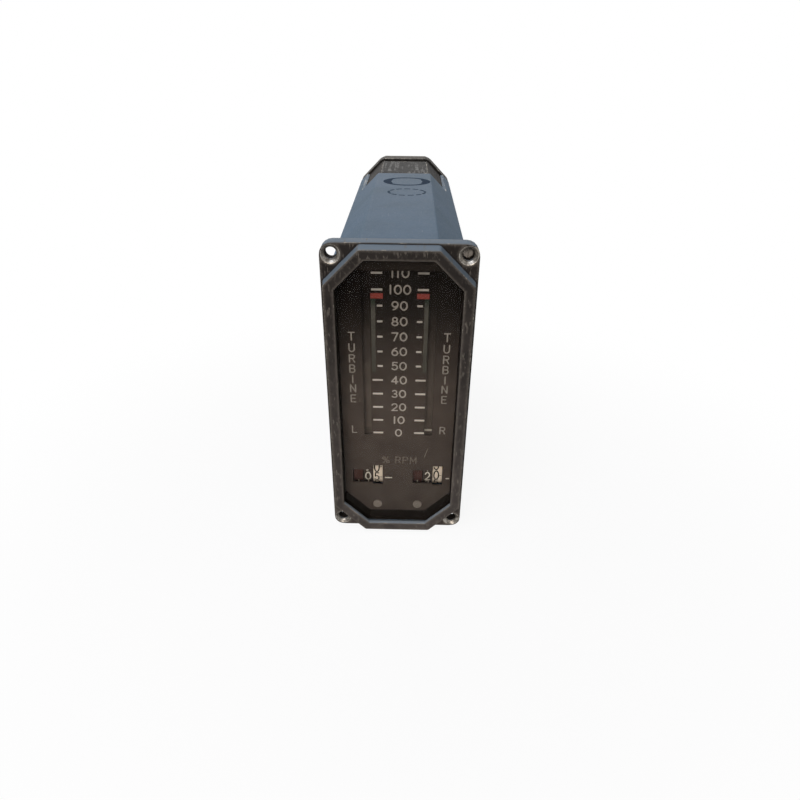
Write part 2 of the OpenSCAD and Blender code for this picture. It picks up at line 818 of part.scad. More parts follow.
module connector_shell() color("#8f9093") difference() {
    union() {
        fore_aft(case_len, case_len + connector_flange_t) translate([0, connector_z])
            rectangle_outline(connector_flange_w, connector_flange_w, connector_corner_r);
        round_y(case_len, case_len + connector_len, [0, connector_z], connector_r);
        for (a = [0, 120, 240]) translate([0, case_len + connector_len - lug_inset, connector_z])
            rotate([0, a, 0]) cylinder(h = connector_r + lug_h, r = lug_r);
    }
    round_y(case_len - over, case_len + connector_len + over, [0, connector_z],
        connector_r - connector_wall);
    for (p = corners(connector_screw_pitch / 2, connector_screw_pitch / 2))
        round_y(case_len - over, case_len + connector_flange_t + over, p + [0, connector_z],
            screw_r + fit_gap);
}

// Places of the contact pins: one in the middle and two rings
pin_places = concat([[0, 0]], [
    for (ring = [1, 2], k = [0:6 * ring - 1])
        ring * (connector_r - connector_wall) * pin_ring_step
            * [cos(60 * k / ring), sin(60 * k / ring)]
]);

module connector_insert() color("#2c3b33")
    round_y(case_len - cover_end_t, insert_back_y, [0, connector_z], connector_r - connector_wall);

module connector_pins() color("#c8a95a") for (p = pin_places)
    round_y(insert_back_y, pin_tip_y, p + [0, connector_z], pin_r);

module connector_screws() color("#8d8f91")
    for (p = corners(connector_screw_pitch / 2, connector_screw_pitch / 2)) {
        y = case_len + connector_flange_t;
        round_y(y, y + connector_screw_head[0], p + [0, connector_z], connector_screw_head[1]);
        round_y(case_len - cover_end_t, y, p + [0, connector_z], screw_r);
    }

front_bezel();
window_gasket();
window_glass();
dial_spacer();
dial_plate();
dial_screws();
front_frame();
centre_plate();
side_plate(left);  // side_plate_left
side_plate(right);  // side_plate_right
frame_posts();
shaft_bushes();
index(left);  // index_left
index(right);  // index_right
tape(left);  // tape_left
tape(right);  // tape_right
tape_drum(left);  // tape_drum_left
tape_drum(right);  // tape_drum_right
tape_shaft(left);  // tape_shaft_left
tape_shaft(right);  // tape_shaft_right
idler_studs();
idler_pulley(left);  // idler_pulley_left
idler_pulley(right);  // idler_pulley_right
spindle_gear(left, tape_middle_axis, tape_middle_turn);  // tape_middle_gear_left
spindle_gear(right, tape_middle_axis, tape_middle_turn);  // tape_middle_gear_right
pinion(left, tape_pinion_axis, tape_pinion_turn);  // tape_pinion_left
pinion(right, tape_pinion_axis, tape_pinion_turn);  // tape_pinion_right
motor(left, tape_pinion_axis);  // tape_motor_left
motor(right, tape_pinion_axis);  // tape_motor_right
potentiometer(left);  // potentiometer_left
potentiometer(right);  // potentiometer_right
units_drum(left);  // units_drum_left
units_drum(right);  // units_drum_right
tens_drum(left);  // tens_drum_left
tens_drum(right);  // tens_drum_right
hundreds_drum(left);  // hundreds_drum_left
hundreds_drum(right);  // hundreds_drum_right
counter_shaft(left);  // counter_shaft_left
counter_shaft(right);  // counter_shaft_right
spindle_gear(left, counter_middle_axis, counter_middle_turn);  // counter_middle_gear_left
spindle_gear(right, counter_middle_axis, counter_middle_turn);  // counter_middle_gear_right
pinion(left, counter_pinion_axis, counter_pinion_turn);  // counter_pinion_left
pinion(right, counter_pinion_axis, counter_pinion_turn);  // counter_pinion_right
motor(left, counter_pinion_axis);  // counter_motor_left
motor(right, counter_pinion_axis);  // counter_motor_right
amplifier_board(left);  // amplifier_board_left
amplifier_board(right);  // amplifier_board_right
board_standoffs();
rear_frame();
power_board();
transformer();
case_sleeve();
data_plate();
rear_gasket();
rear_cover();
rear_cover_screws();
connector_shell();
connector_insert();
connector_pins();
connector_screws();
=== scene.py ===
"""Looks of a turbine speed indicator: finishes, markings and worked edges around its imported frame.

Every length is in metres in the frame of the CAD model: +X to the viewer's right across the dial,
+Y from the dial back through the case, +Z up the scales. Sizes that are written in millimetres are
multiplied by MM. Places that the frame knows are read from it.
"""

import json
import logging
import math
from dataclasses import dataclass
from enum import Enum
from typing import Any, Callable, Optional, Sequence

import bmesh
import bpy
from mathutils import Matrix, Vector
from mathutils.kdtree import KDTree


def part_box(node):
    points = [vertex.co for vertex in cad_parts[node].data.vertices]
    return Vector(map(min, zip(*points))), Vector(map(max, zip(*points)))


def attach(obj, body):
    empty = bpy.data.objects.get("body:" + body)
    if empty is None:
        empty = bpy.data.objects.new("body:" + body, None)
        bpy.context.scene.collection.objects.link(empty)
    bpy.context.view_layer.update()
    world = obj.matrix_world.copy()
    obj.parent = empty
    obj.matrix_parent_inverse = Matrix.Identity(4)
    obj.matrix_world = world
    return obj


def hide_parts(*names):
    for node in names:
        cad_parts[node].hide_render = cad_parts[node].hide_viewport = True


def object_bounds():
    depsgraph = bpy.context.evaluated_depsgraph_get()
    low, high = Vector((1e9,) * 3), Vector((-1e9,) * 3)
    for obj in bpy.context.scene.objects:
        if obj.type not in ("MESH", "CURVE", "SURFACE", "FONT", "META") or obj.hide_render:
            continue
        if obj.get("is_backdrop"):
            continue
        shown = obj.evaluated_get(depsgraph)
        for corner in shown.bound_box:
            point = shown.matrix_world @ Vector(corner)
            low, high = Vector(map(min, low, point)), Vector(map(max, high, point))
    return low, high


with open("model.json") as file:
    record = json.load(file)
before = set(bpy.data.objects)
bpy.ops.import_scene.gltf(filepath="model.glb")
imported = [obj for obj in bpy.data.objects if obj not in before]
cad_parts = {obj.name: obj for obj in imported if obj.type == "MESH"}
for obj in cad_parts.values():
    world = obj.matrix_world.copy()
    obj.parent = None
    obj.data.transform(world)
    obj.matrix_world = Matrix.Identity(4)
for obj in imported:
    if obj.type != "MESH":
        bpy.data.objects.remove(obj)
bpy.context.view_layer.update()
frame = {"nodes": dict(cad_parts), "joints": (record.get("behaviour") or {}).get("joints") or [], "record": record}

MM = 0.001
# Points nearer than this are one: in general, and on the CAD model's loose triangles
TINY = 1e-7
WELD = 0.002 * MM
# The signs of X and Z in the four quarters of the front
QUARTERS = ((-1, -1), (-1, 1), (1, -1), (1, 1))
# Node settings that many finishes share: a range with soft ends, and a mix of two colours
SOFT_ENDS = {"interpolation_type": "SMOOTHSTEP"}
COLOUR_MIX = {"out": 2, "data_type": "RGBA"}
made_materials: dict[str, bpy.types.Material] = {}
log = logging.getLogger("indicator")

Point = tuple[float, float]
Stroke = list[Point]
Socket = bpy.types.NodeSocket
Tree = bpy.types.NodeTree
Shape = bmesh.types.BMesh
Piece = bpy.types.Object


class Side(Enum):
    """A side of the dial, with its sign along X."""

    LEFT = -1
    RIGHT = 1

    @property
    def word(self) -> str:
        """Return the side's word in the names of nodes and bodies."""
        return self.name.lower()


class Drum(Enum):
    """A drum of a counter, with its place from left to right."""

    HUNDREDS = 0
    TENS = 1
    UNITS = 2

    @property
    def word(self) -> str:
        """Return the drum's word in the names of nodes and bodies."""
        return self.name.lower()


def linear(hex_colour: str) -> tuple[float, float, float, float]:
    """Turn an sRGB hex colour into linear values.

    Args:
        hex_colour: The colour as #rrggbb.

    Returns:
        Linear red, green and blue, and an alpha of 1.
    """
    shares = [int(hex_colour[i : i + 2], 16) / 255 for i in (1, 3, 5)]
    red, green, blue = [s / 12.92 if s <= 0.04045 else ((s + 0.055) / 1.055) ** 2.4 for s in shares]
    return red, green, blue, 1.0


def per_metre(size_mm: float) -> float:
    """Return the texture scale that makes a pattern's features about this many millimetres wide."""
    return 1 / (size_mm * MM)


def add(
    tree: Tree, kind: str, inputs: Optional[dict[Any, Any]] = None, out: int | str = 0,
    **settings: Any
) -> Socket:
    """Add one node with its settings and links.

    Args:
        tree: The material's or geometry's node tree.
        kind: The node's type name.
        inputs: Values or sockets for the node's inputs, by name or by place.
        out: Which output to hand back, by name or by place.
        **settings: The node's own properties.

    Returns:
        The chosen output socket, or the first input of a node that has no output.
    """
    node = tree.nodes.new(kind)
    for name, value in settings.items():
        setattr(node, name, value)
    for key, value in (inputs or {}).items():
        for item in value if isinstance(value, list) else [value]:
            if isinstance(item, Socket):
                tree.links.new(item, node.inputs[key])
            else:
                node.inputs[key].default_value = item
    return node.outputs[out] if len(node.outputs) else node.inputs[0]


def empty_tree(owner: bpy.types.ID) -> Tree:
    """Give a new material's or world's node tree, without the nodes that it starts with.

    Args:
        owner: The material or world.

    Returns:
        Its empty node tree.
    """
    owner.use_nodes = True
    owner.node_tree.nodes.clear()
    return owner.node_tree


def outside(tree: Tree, place: Socket, low: float, high: float, slack: float) -> Socket:
    """Tell what lies outside a layer.

    Args:
        tree: The material's node tree.
        place: The coordinate across the layer.
        low: One face of the layer.
        high: Its other face.
        slack: How far past its faces still counts as inside.

    Returns:
        1 outside the layer and 0 in it.
    """
    offset = add(tree, "ShaderNodeMath", {0: place, 1: (low + high) / 2}, operation="SUBTRACT")
    distance = add(tree, "ShaderNodeMath", {0: offset}, operation="ABSOLUTE")
    return add(tree, "ShaderNodeMath", {0: distance, 1: abs(high - low) / 2 + slack},
               operation="GREATER_THAN")


def shown(tree: Tree) -> Socket:
    """Tell the rays that show a background from the rays that light the object.

    Args:
        tree: The node tree of the background's material or world.

    Returns:
        1 for a ray from the camera, from a reflection or through glass, and 0 for others.
    """
    rays = add(tree, "ShaderNodeLightPath").node.outputs
    seen = add(tree, "ShaderNodeMath", {0: rays["Is Camera Ray"], 1: rays["Is Glossy Ray"]},
               operation="ADD")
    return add(tree, "ShaderNodeMath", {0: seen, 1: rays["Is Transmission Ray"]},
               operation="ADD", use_clamp=True)


@dataclass(frozen=True)
class Finish:
    """What a surface is made of. Each kind of finish builds its own nodes."""

    name: str

    def surface(self, tree: Tree) -> Socket:
        """Return the shader of this finish, built in the tree."""
        raise NotImplementedError

    def material(self) -> bpy.types.Material:
        """Give the finish's material, made at its first use.

        Returns:
            The material with its finished node tree.
        """
        if self.name not in made_materials:
            made = made_materials[self.name] = bpy.data.materials.new(self.name)
            tree = empty_tree(made)
            add(tree, "ShaderNodeOutputMaterial", {"Surface": self.surface(tree)})
        return made_materials[self.name]


@dataclass(frozen=True)
class WornPaint(Finish):
    """Enamel sprayed on cast or folded aluminium, worn through where hands and tools meet it.

    The paint has an orange-peel skin and large soft stains. Near the edges it is rubbed pale, and on
    the edges themselves the bare metal shows in broken stretches. The creases are darker: grime and
    painted shade. Faces that look up take a pale blue-grey, a painted reflection of the light from
    above, and the gains make the coat brighter or darker towards the piece's foot and top, as painted
    light and shade. Low wear adds chips at its foot.

    FRAY is how the fine noise frays the worn outlines: its factor and their least share. SCUFF_WAY
    stretches the scuffs along Y and less along Z. METAL_SHARE is how metallic the bare patches are,
    which keep some oxide.
    """

    FRAY = (1.9, 0.05)
    SCUFF_WAY = (1.0, 0.06, 0.3)
    METAL_SHARE = 0.8

    coat: str
    stain: str
    rub: str
    metal: str
    bare_mm: float
    chips: float
    # The colour that darkens the creases: grime and painted shade
    dirt: str = "#14110f"
    roughness: float = 0.5
    rub_mm: float = 1.6
    rub_share: float = 0.5
    scuffs: float = 0.35
    stain_mm: float = 16.0
    patch_mm: float = 7.0
    fray_mm: float = 0.9
    skin_mm: float = 0.55
    skin: float = 0.12
    gloss: float = 0.02
    dirt_from: float = 0.45
    # The colour and share of a painted reflection of the light from above, on faces that look up
    bloom: str = "#6e7b86"
    bloom_share: float = 0.0
    # Painted light and shade by height: the coat's brightness at the piece's foot and at its top
    low_gain: float = 1.0
    high_gain: float = 1.0
    gain_reach: float = 62 * MM
    low_wear: float = 0.0
    scuff_mm: float = 0.5
    scuff_from: float = 0.64

    def surface(self, tree: Tree) -> Socket:
        """Build the paint, its wear and its relief.

        Args:
            tree: The material's node tree.

        Returns:
            The shader of the worn paint.
        """
        where = add(tree, "ShaderNodeTexCoord", out="Object")
        edge = add(tree, "ShaderNodeAttribute", out="Fac", attribute_name=EdgeWork.EDGE)
        crease = add(tree, "ShaderNodeAttribute", out="Fac", attribute_name=EdgeWork.CREASE)
        away = add(tree, "ShaderNodeMapRange", {
            "Value": edge, "From Min": 1.0, "From Max": 0.0, "To Max": EdgeWork.REACH_MM})
        broad, fine, stains = (
            add(tree, "ShaderNodeTexNoise", {
                "Vector": where, "Scale": per_metre(size), "Detail": detail, "Roughness": rough})
            for size, detail, rough in (
                (self.patch_mm, 3.0, 0.65), (self.fray_mm, 4.0, 0.7), (self.stain_mm, 5.0, 0.6)))

        patches = add(tree, "ShaderNodeMapRange", {
            "Value": broad, "From Min": 0.36, "From Max": 0.62}, **SOFT_ENDS)
        ragged = add(tree, "ShaderNodeMath", {0: fine, 1: self.FRAY[0], 2: self.FRAY[1]},
                     operation="MULTIPLY_ADD")
        reach = add(tree, "ShaderNodeMath", {0: patches, 1: ragged}, operation="MULTIPLY")
        bare_reach = add(tree, "ShaderNodeMath", {0: reach, 1: self.bare_mm}, operation="MULTIPLY")
        bare_depth = add(tree, "ShaderNodeMath", {0: bare_reach, 1: away}, operation="SUBTRACT")
        bare_edge = add(tree, "ShaderNodeMapRange", {
            "Value": bare_depth, "From Min": 0.0, "From Max": 0.1}, **SOFT_ENDS)
        low = add(tree, "ShaderNodeMapRange", {
            "Value": add(tree, "ShaderNodeSeparateXYZ", {0: where}, "Z"),
            "From Min": self.gain_reach, "From Max": -self.gain_reach})
        often = add(tree, "ShaderNodeMath", {0: low, 1: self.low_wear, 2: fine},
                    operation="MULTIPLY_ADD")
        spots = add(tree, "ShaderNodeMapRange", {
            "Value": often, "From Min": 0.69, "From Max": 0.73}, **SOFT_ENDS)
        spotted = add(tree, "ShaderNodeMapRange", {
            "Value": stains, "From Min": 0.5, "From Max": 0.66, "To Max": self.chips}, **SOFT_ENDS)
        chips = add(tree, "ShaderNodeMath", {0: spots, 1: spotted}, operation="MULTIPLY")
        bare = add(tree, "ShaderNodeMath", {0: bare_edge, 1: chips}, operation="MAXIMUM")

        rub_reach = add(tree, "ShaderNodeMath", {0: ragged, 1: self.rub_mm}, operation="MULTIPLY")
        rub_depth = add(tree, "ShaderNodeMath", {0: rub_reach, 1: away}, operation="SUBTRACT")
        rub = add(tree, "ShaderNodeMapRange", {
            "Value": rub_depth, "From Min": -0.5, "From Max": 1.2, "To Max": self.rub_share},
            **SOFT_ENDS)
        long_way = add(tree, "ShaderNodeVectorMath", {0: where, 1: self.SCUFF_WAY},
                       operation="MULTIPLY")
        streaks = add(tree, "ShaderNodeTexNoise", {
            "Vector": long_way, "Scale": per_metre(self.scuff_mm), "Detail": 2.0,
            "Roughness": 0.5})
        scuffed = add(tree, "ShaderNodeMapRange", {
            "Value": streaks, "From Min": self.scuff_from, "From Max": self.scuff_from + 0.08,
            "To Max": self.scuffs}, **SOFT_ENDS)
        scuff_places = add(tree, "ShaderNodeMath", {0: scuffed, 1: patches}, operation="MULTIPLY")
        pale = add(tree, "ShaderNodeMath", {0: rub, 1: scuff_places}, operation="MAXIMUM")
        # Darker near the creases, by grime and painted shade
        crease_grime_and_shade_share = add(tree, "ShaderNodeMapRange", {
            "Value": crease, "From Min": self.dirt_from, "From Max": 1.0, "To Max": 0.75},
            **SOFT_ENDS)

        stained = add(tree, "ShaderNodeMapRange", {
            "Value": stains, "From Min": 0.35, "From Max": 0.68}, **SOFT_ENDS)
        fresh = add(tree, "ShaderNodeMix", {0: stained, 6: linear(self.coat), 7: linear(self.stain)},
                    **COLOUR_MIX)
        # Painted light and shade: brighter towards the foot and darker towards the top
        gain = add(tree, "ShaderNodeMapRange", {
            "Value": low, "To Min": self.high_gain, "To Max": self.low_gain})
        height_shaded = add(tree, "ShaderNodeVectorMath", {0: fresh, "Scale": gain}, operation="SCALE")
        # A painted reflection of the light from above, on faces that look up
        facing = add(tree, "ShaderNodeSeparateXYZ", {
            0: add(tree, "ShaderNodeTexCoord", out="Normal")}, "Z")
        sky_lit = add(tree, "ShaderNodeMapRange", {
            "Value": facing, "From Min": 0.35, "From Max": 0.85, "To Max": self.bloom_share},
            **SOFT_ENDS)
        colour = height_shaded
        for share, hex_colour in (
                (sky_lit, self.bloom), (pale, self.rub), (crease_grime_and_shade_share, self.dirt), (bare, self.metal)):
            colour = add(tree, "ShaderNodeMix", {0: share, 6: colour, 7: linear(hex_colour)},
                         **COLOUR_MIX)
        rough = add(tree, "ShaderNodeMapRange", {
            "Value": fine, "From Min": 0.3, "From Max": 0.7,
            "To Min": self.roughness - 0.07, "To Max": self.roughness + 0.1})
        peel = add(tree, "ShaderNodeTexNoise", {
            "Vector": where, "Scale": per_metre(self.skin_mm), "Detail": 1.0})
        coat_height = add(tree, "ShaderNodeMath", {0: peel, 1: self.skin, 2: 1.0},
                          operation="MULTIPLY_ADD")
        height = add(tree, "ShaderNodeMath", {0: coat_height, 1: bare}, operation="SUBTRACT")
        relief = add(tree, "ShaderNodeBump", {
            "Height": height, "Distance": 0.06 * MM, "Strength": 0.8})
        metallic = add(tree, "ShaderNodeMath", {0: bare, 1: self.METAL_SHARE},
                       operation="MULTIPLY")
        return add(tree, "ShaderNodeBsdfPrincipled", {
            "Base Color": colour, "Metallic": metallic, "Roughness": rough, "Normal": relief,
            "Specular IOR Level": self.gloss})


@dataclass(frozen=True)
class Metal(Finish):
    """Bare or plated metal with the fine lines of the tool that cut it, and a dull film of age.

    The lines run along the axis with the largest size in grain_mm, so a turned part takes rings and
    a milled one takes straight strokes.
    """

    colour: str
    film: str
    grain_mm: tuple[float, float, float] = (0.15, 3.0, 0.15)
    roughness: float = 0.34
    dullness: float = 0.45
    film_mm: float = 2.6
    film_roughness: float = 0.25
    relief: float = 0.2

    def surface(self, tree: Tree) -> Socket:
        """Build the metal, its film and its grain.

        Args:
            tree: The material's node tree.

        Returns:
            The shader of the metal.
        """
        where = add(tree, "ShaderNodeTexCoord", out="Object")
        stretched = add(tree, "ShaderNodeVectorMath", {
            0: where, 1: tuple(per_metre(size) for size in self.grain_mm)}, operation="MULTIPLY")
        grain = add(tree, "ShaderNodeTexNoise", {"Vector": stretched, "Scale": 1.0, "Detail": 3.0})
        film = add(tree, "ShaderNodeTexNoise", {
            "Vector": where, "Scale": per_metre(self.film_mm), "Detail": 4.0, "Roughness": 0.65})
        filmed = add(tree, "ShaderNodeMapRange", {
            "Value": film, "From Min": 0.38, "From Max": 0.66, "To Max": self.dullness}, **SOFT_ENDS)
        colour = add(tree, "ShaderNodeMix", {0: filmed, 6: linear(self.colour), 7: linear(self.film)},
                     **COLOUR_MIX)
        grained = add(tree, "ShaderNodeMapRange", {
            "Value": grain, "From Min": 0.3, "From Max": 0.7,
            "To Min": self.roughness - 0.06, "To Max": self.roughness + 0.08})
        rough = add(tree, "ShaderNodeMath", {0: filmed, 1: self.film_roughness, 2: grained},
                    operation="MULTIPLY_ADD")
        bump = add(tree, "ShaderNodeBump", {
            "Height": grain, "Distance": 0.02 * MM, "Strength": self.relief})
        return add(tree, "ShaderNodeBsdfPrincipled", {
            "Base Color": colour, "Metallic": 1.0, "Roughness": rough, "Normal": bump})


@dataclass(frozen=True)
class Moulded(Finish):
    """Moulded nylon, phenolic or rubber: an even colour, a fine pebbled skin and a little dust."""

    colour: str
    dust: str
    roughness: float = 0.6
    dusting: float = 0.3
    dust_mm: float = 3.5
    pebble_mm: float = 0.35
    relief: float = 0.25
    gloss: float = 0.08

    def surface(self, tree: Tree) -> Socket:
        """Build the moulding's colour, dust and skin.

        Args:
            tree: The material's node tree.

        Returns:
            The shader of the moulding.
        """
        where = add(tree, "ShaderNodeTexCoord", out="Object")
        cloud = add(tree, "ShaderNodeTexNoise", {
            "Vector": where, "Scale": per_metre(self.dust_mm), "Detail": 5.0, "Roughness": 0.7})
        dusted = add(tree, "ShaderNodeMapRange", {
            "Value": cloud, "From Min": 0.42, "From Max": 0.72, "To Max": self.dusting}, **SOFT_ENDS)
        colour = add(tree, "ShaderNodeMix", {0: dusted, 6: linear(self.colour), 7: linear(self.dust)},
                     **COLOUR_MIX)
        pebble = add(tree, "ShaderNodeTexNoise", {
            "Vector": where, "Scale": per_metre(self.pebble_mm), "Detail": 2.0})
        rough = add(tree, "ShaderNodeMapRange", {
            "Value": pebble, "From Min": 0.3, "From Max": 0.7,
            "To Min": self.roughness - 0.08, "To Max": self.roughness + 0.08})
        bump = add(tree, "ShaderNodeBump", {
            "Height": pebble, "Distance": 0.03 * MM, "Strength": self.relief})
        return add(tree, "ShaderNodeBsdfPrincipled", {
            "Base Color": colour, "Roughness": rough, "Normal": bump,
            "Specular IOR Level": self.gloss})


@dataclass(frozen=True)
class DialPaint(Finish):
    """Matt dial paint, sprayed thin: it hardly shines.

    Its colour goes from lower to upper between the heights low and high: paler low on the dial as
    painted light, and darker higher up as painted shade under the rim.
    """

    upper: str
    lower: str
    low: float = -5 * MM
    high: float = 50 * MM
    roughness: float = 0.82
    mist_mm: float = 9.0
    tooth_mm: float = 0.18

    def surface(self, tree: Tree) -> Socket:
        """Build the faded paint.

        Args:
            tree: The material's node tree.

        Returns:
            The shader of the dial paint.
        """
        where = add(tree, "ShaderNodeTexCoord", out="Object")
        height = add(tree, "ShaderNodeSeparateXYZ", {0: where}, "Z")
        # Painted light and shade by height: paler low on the dial, darker under the rim's shade
        up = add(tree, "ShaderNodeMapRange", {
            "Value": height, "From Min": self.low, "From Max": self.high}, **SOFT_ENDS)
        height_shaded = add(tree, "ShaderNodeMix", {0: up, 6: linear(self.lower), 7: linear(self.upper)},
                    **COLOUR_MIX)
        mist = add(tree, "ShaderNodeTexNoise", {
            "Vector": where, "Scale": per_metre(self.mist_mm), "Detail": 6.0, "Roughness": 0.7})
        misted = add(tree, "ShaderNodeMapRange", {
            "Value": mist, "From Min": 0.3, "From Max": 0.7, "To Min": 0.82, "To Max": 1.2})
        colour = add(tree, "ShaderNodeVectorMath", {0: height_shaded, "Scale": misted}, operation="SCALE")
        tooth = add(tree, "ShaderNodeTexNoise", {
            "Vector": where, "Scale": per_metre(self.tooth_mm), "Detail": 2.0})
        bump = add(tree, "ShaderNodeBump", {
            "Height": tooth, "Distance": 0.02 * MM, "Strength": 0.35})
        return add(tree, "ShaderNodeBsdfPrincipled", {
            "Base Color": colour, "Roughness": self.roughness, "Normal": bump,
            "Specular IOR Level": 0.03})


@dataclass(frozen=True)
class Ink(Finish):
    """Screen-printed or stamped ink: a thin matt film whose strength varies, with pinholes in it."""

    colour: str
    thin: str
    spread_mm: float = 0.8
    roughness: float = 0.7

    def surface(self, tree: Tree) -> Socket:
        """Build the ink film.

        Args:
            tree: The material's node tree.

        Returns:
            The shader of the ink.
        """
        where = add(tree, "ShaderNodeTexCoord", out="Object")
        film = add(tree, "ShaderNodeTexNoise", {
            "Vector": where, "Scale": per_metre(self.spread_mm), "Detail": 5.0, "Roughness": 0.75})
        thinned = add(tree, "ShaderNodeMapRange", {
            "Value": film, "From Min": 0.45, "From Max": 0.72}, **SOFT_ENDS)
        colour = add(tree, "ShaderNodeMix", {
            0: thinned, 6: linear(self.colour), 7: linear(self.thin)}, **COLOUR_MIX)
        return add(tree, "ShaderNodeBsdfPrincipled", {
            "Base Color": colour, "Roughness": self.roughness, "Specular IOR Level": 0.02})


@dataclass(frozen=True)
class Glass(Finish):
    """Flat window glass with an old anti-glare coat, seen as a faint even reflection over the dial.

    Glossy and transparent parts are mixed by the angle of view. Wiping marks make the reflection a
    little softer in places.
    """

    tint: str = "#fafbfb"
    index: float = 1.12
    roughness: float = 0.06
    wipe_mm: float = 11.0

    def surface(self, tree: Tree) -> Socket:
        """Build the pane.

        Args:
            tree: The material's node tree.

        Returns:
            The shader of the glass.
        """
        where = add(tree, "ShaderNodeTexCoord", out="Object")
        wipes = add(tree, "ShaderNodeTexNoise", {
            "Vector": where, "Scale": per_metre(self.wipe_mm), "Detail": 4.0, "Roughness": 0.7})
        rough = add(tree, "ShaderNodeMapRange", {
            "Value": wipes, "From Min": 0.35, "From Max": 0.7,
            "To Min": self.roughness, "To Max": self.roughness + 0.16})
        through = add(tree, "ShaderNodeBsdfTransparent", {"Color": linear(self.tint)})
        mirror = add(tree, "ShaderNodeBsdfAnisotropic", {
            "Color": linear("#ffffff"), "Roughness": rough})
        share = add(tree, "ShaderNodeFresnel", {"IOR": self.index})
        return add(tree, "ShaderNodeMixShader", {0: share, 1: through, 2: mirror})


@dataclass(frozen=True)
class Circuitry(Finish):
    """A lacquered glass-fibre board with tinned tracks, and the parts that stand on it.

    The board lies in one X layer. What stands outside that layer is coloured by its height on the
    board: cans of plated steel, resistors of brown phenolic, capacitors of blue film.
    """

    lacquer: str
    track: str
    inner: float
    outer: float
    parts: tuple[tuple[float, str], ...]
    track_mm: Point = (7.0, 2.5)
    weave_mm: float = 0.4

    def surface(self, tree: Tree) -> Socket:
        """Build the board and its parts.

        Args:
            tree: The material's node tree.

        Returns:
            The shader of the board.
        """
        where = add(tree, "ShaderNodeTexCoord", out="Object")
        x, y, z = add(tree, "ShaderNodeSeparateXYZ", {0: where}).node.outputs
        lines = add(tree, "ShaderNodeTexBrick", {
            "Vector": add(tree, "ShaderNodeCombineXYZ", {"X": y, "Y": z}),
            "Scale": per_metre(1.0), "Mortar Size": 0.25, "Brick Width": self.track_mm[0],
            "Row Height": self.track_mm[1]}, "Fac", offset=0.37, squash=1.0)
        board = add(tree, "ShaderNodeMix", {0: lines, 6: linear(self.lacquer), 7: linear(self.track)},
                    **COLOUR_MIX)
        colour = linear(self.parts[0][1])
        for start, hex_colour in self.parts[1:]:
            above = add(tree, "ShaderNodeMath", {0: z, 1: start}, operation="GREATER_THAN")
            colour = add(tree, "ShaderNodeMix", {0: above, 6: colour, 7: linear(hex_colour)},
                         **COLOUR_MIX)
        off_board = outside(tree, x, self.inner, self.outer, slack=0.02 * MM)
        mixed = add(tree, "ShaderNodeMix", {0: off_board, 6: board, 7: colour}, **COLOUR_MIX)
        weave = add(tree, "ShaderNodeTexNoise", {"Vector": where, "Scale": per_metre(self.weave_mm)})
        bump = add(tree, "ShaderNodeBump", {
            "Height": weave, "Distance": 0.02 * MM, "Strength": 0.3})
        return add(tree, "ShaderNodeBsdfPrincipled", {
            "Base Color": mixed, "Roughness": 0.4, "Normal": bump})


@dataclass(frozen=True)
class Laminations(Finish):
    """A stack of varnished iron sheets with a copper winding: thin dark lines across a grey core.

    BANDS is how many bands the wave texture has in one unit at a scale of 1.
    """

    BANDS = 3.2

    iron: str
    gap: str
    copper: str
    low: float
    high: float
    sheet_mm: float = 0.5

    def surface(self, tree: Tree) -> Socket:
        """Build the stack and its winding.

        Args:
            tree: The material's node tree.

        Returns:
            The shader of the transformer.
        """
        where = add(tree, "ShaderNodeTexCoord", out="Object")
        bands = add(tree, "ShaderNodeTexWave", {
            "Vector": where, "Scale": per_metre(self.sheet_mm) / self.BANDS, "Distortion": 0.2},
            "Fac", wave_type="BANDS", bands_direction="Y")
        stack = add(tree, "ShaderNodeMix", {0: bands, 6: linear(self.iron), 7: linear(self.gap)},
                    **COLOUR_MIX)
        depth = add(tree, "ShaderNodeSeparateXYZ", {0: where}, "Y")
        off_stack = outside(tree, depth, self.low, self.high, slack=0.05 * MM)
        colour = add(tree, "ShaderNodeMix", {0: off_stack, 6: stack, 7: linear(self.copper)},
                     **COLOUR_MIX)
        bump = add(tree, "ShaderNodeBump", {
            "Height": bands, "Distance": 0.05 * MM, "Strength": 0.5})
        return add(tree, "ShaderNodeBsdfPrincipled", {
            "Base Color": colour, "Metallic": 0.4, "Roughness": 0.45, "Normal": bump})


@dataclass(frozen=True)
class StudioPaper(Finish):
    """Matt white background paper: it keeps a faint shadow near the object and is plain white beyond.

    The paper's own colour shows to the light. What the camera sees of it is mostly white, from
    white_share at the object to all of it at the shadow's reach.
    """

    reach: float = 0.3
    white_share: float = 0.9

    def surface(self, tree: Tree) -> Socket:
        """Build the paper.

        Args:
            tree: The material's node tree.

        Returns:
            The shader of the paper.
        """
        where = add(tree, "ShaderNodeTexCoord", out="Object")
        far = add(tree, "ShaderNodeVectorMath", {0: where}, "Value", operation="LENGTH")
        white = add(tree, "ShaderNodeMapRange", {
            "Value": far, "From Min": self.reach / 3, "From Max": self.reach,
            "To Min": self.white_share}, **SOFT_ENDS)
        share = add(tree, "ShaderNodeMath", {0: shown(tree), 1: white}, operation="MULTIPLY")
        matt = add(tree, "ShaderNodeBsdfDiffuse", {"Color": linear("#f2f2f2")})
        glow = add(tree, "ShaderNodeEmission", {"Color": linear("#ffffff"), "Strength": 1.0})
        return add(tree, "ShaderNodeMixShader", {0: share, 1: matt, 2: glow})


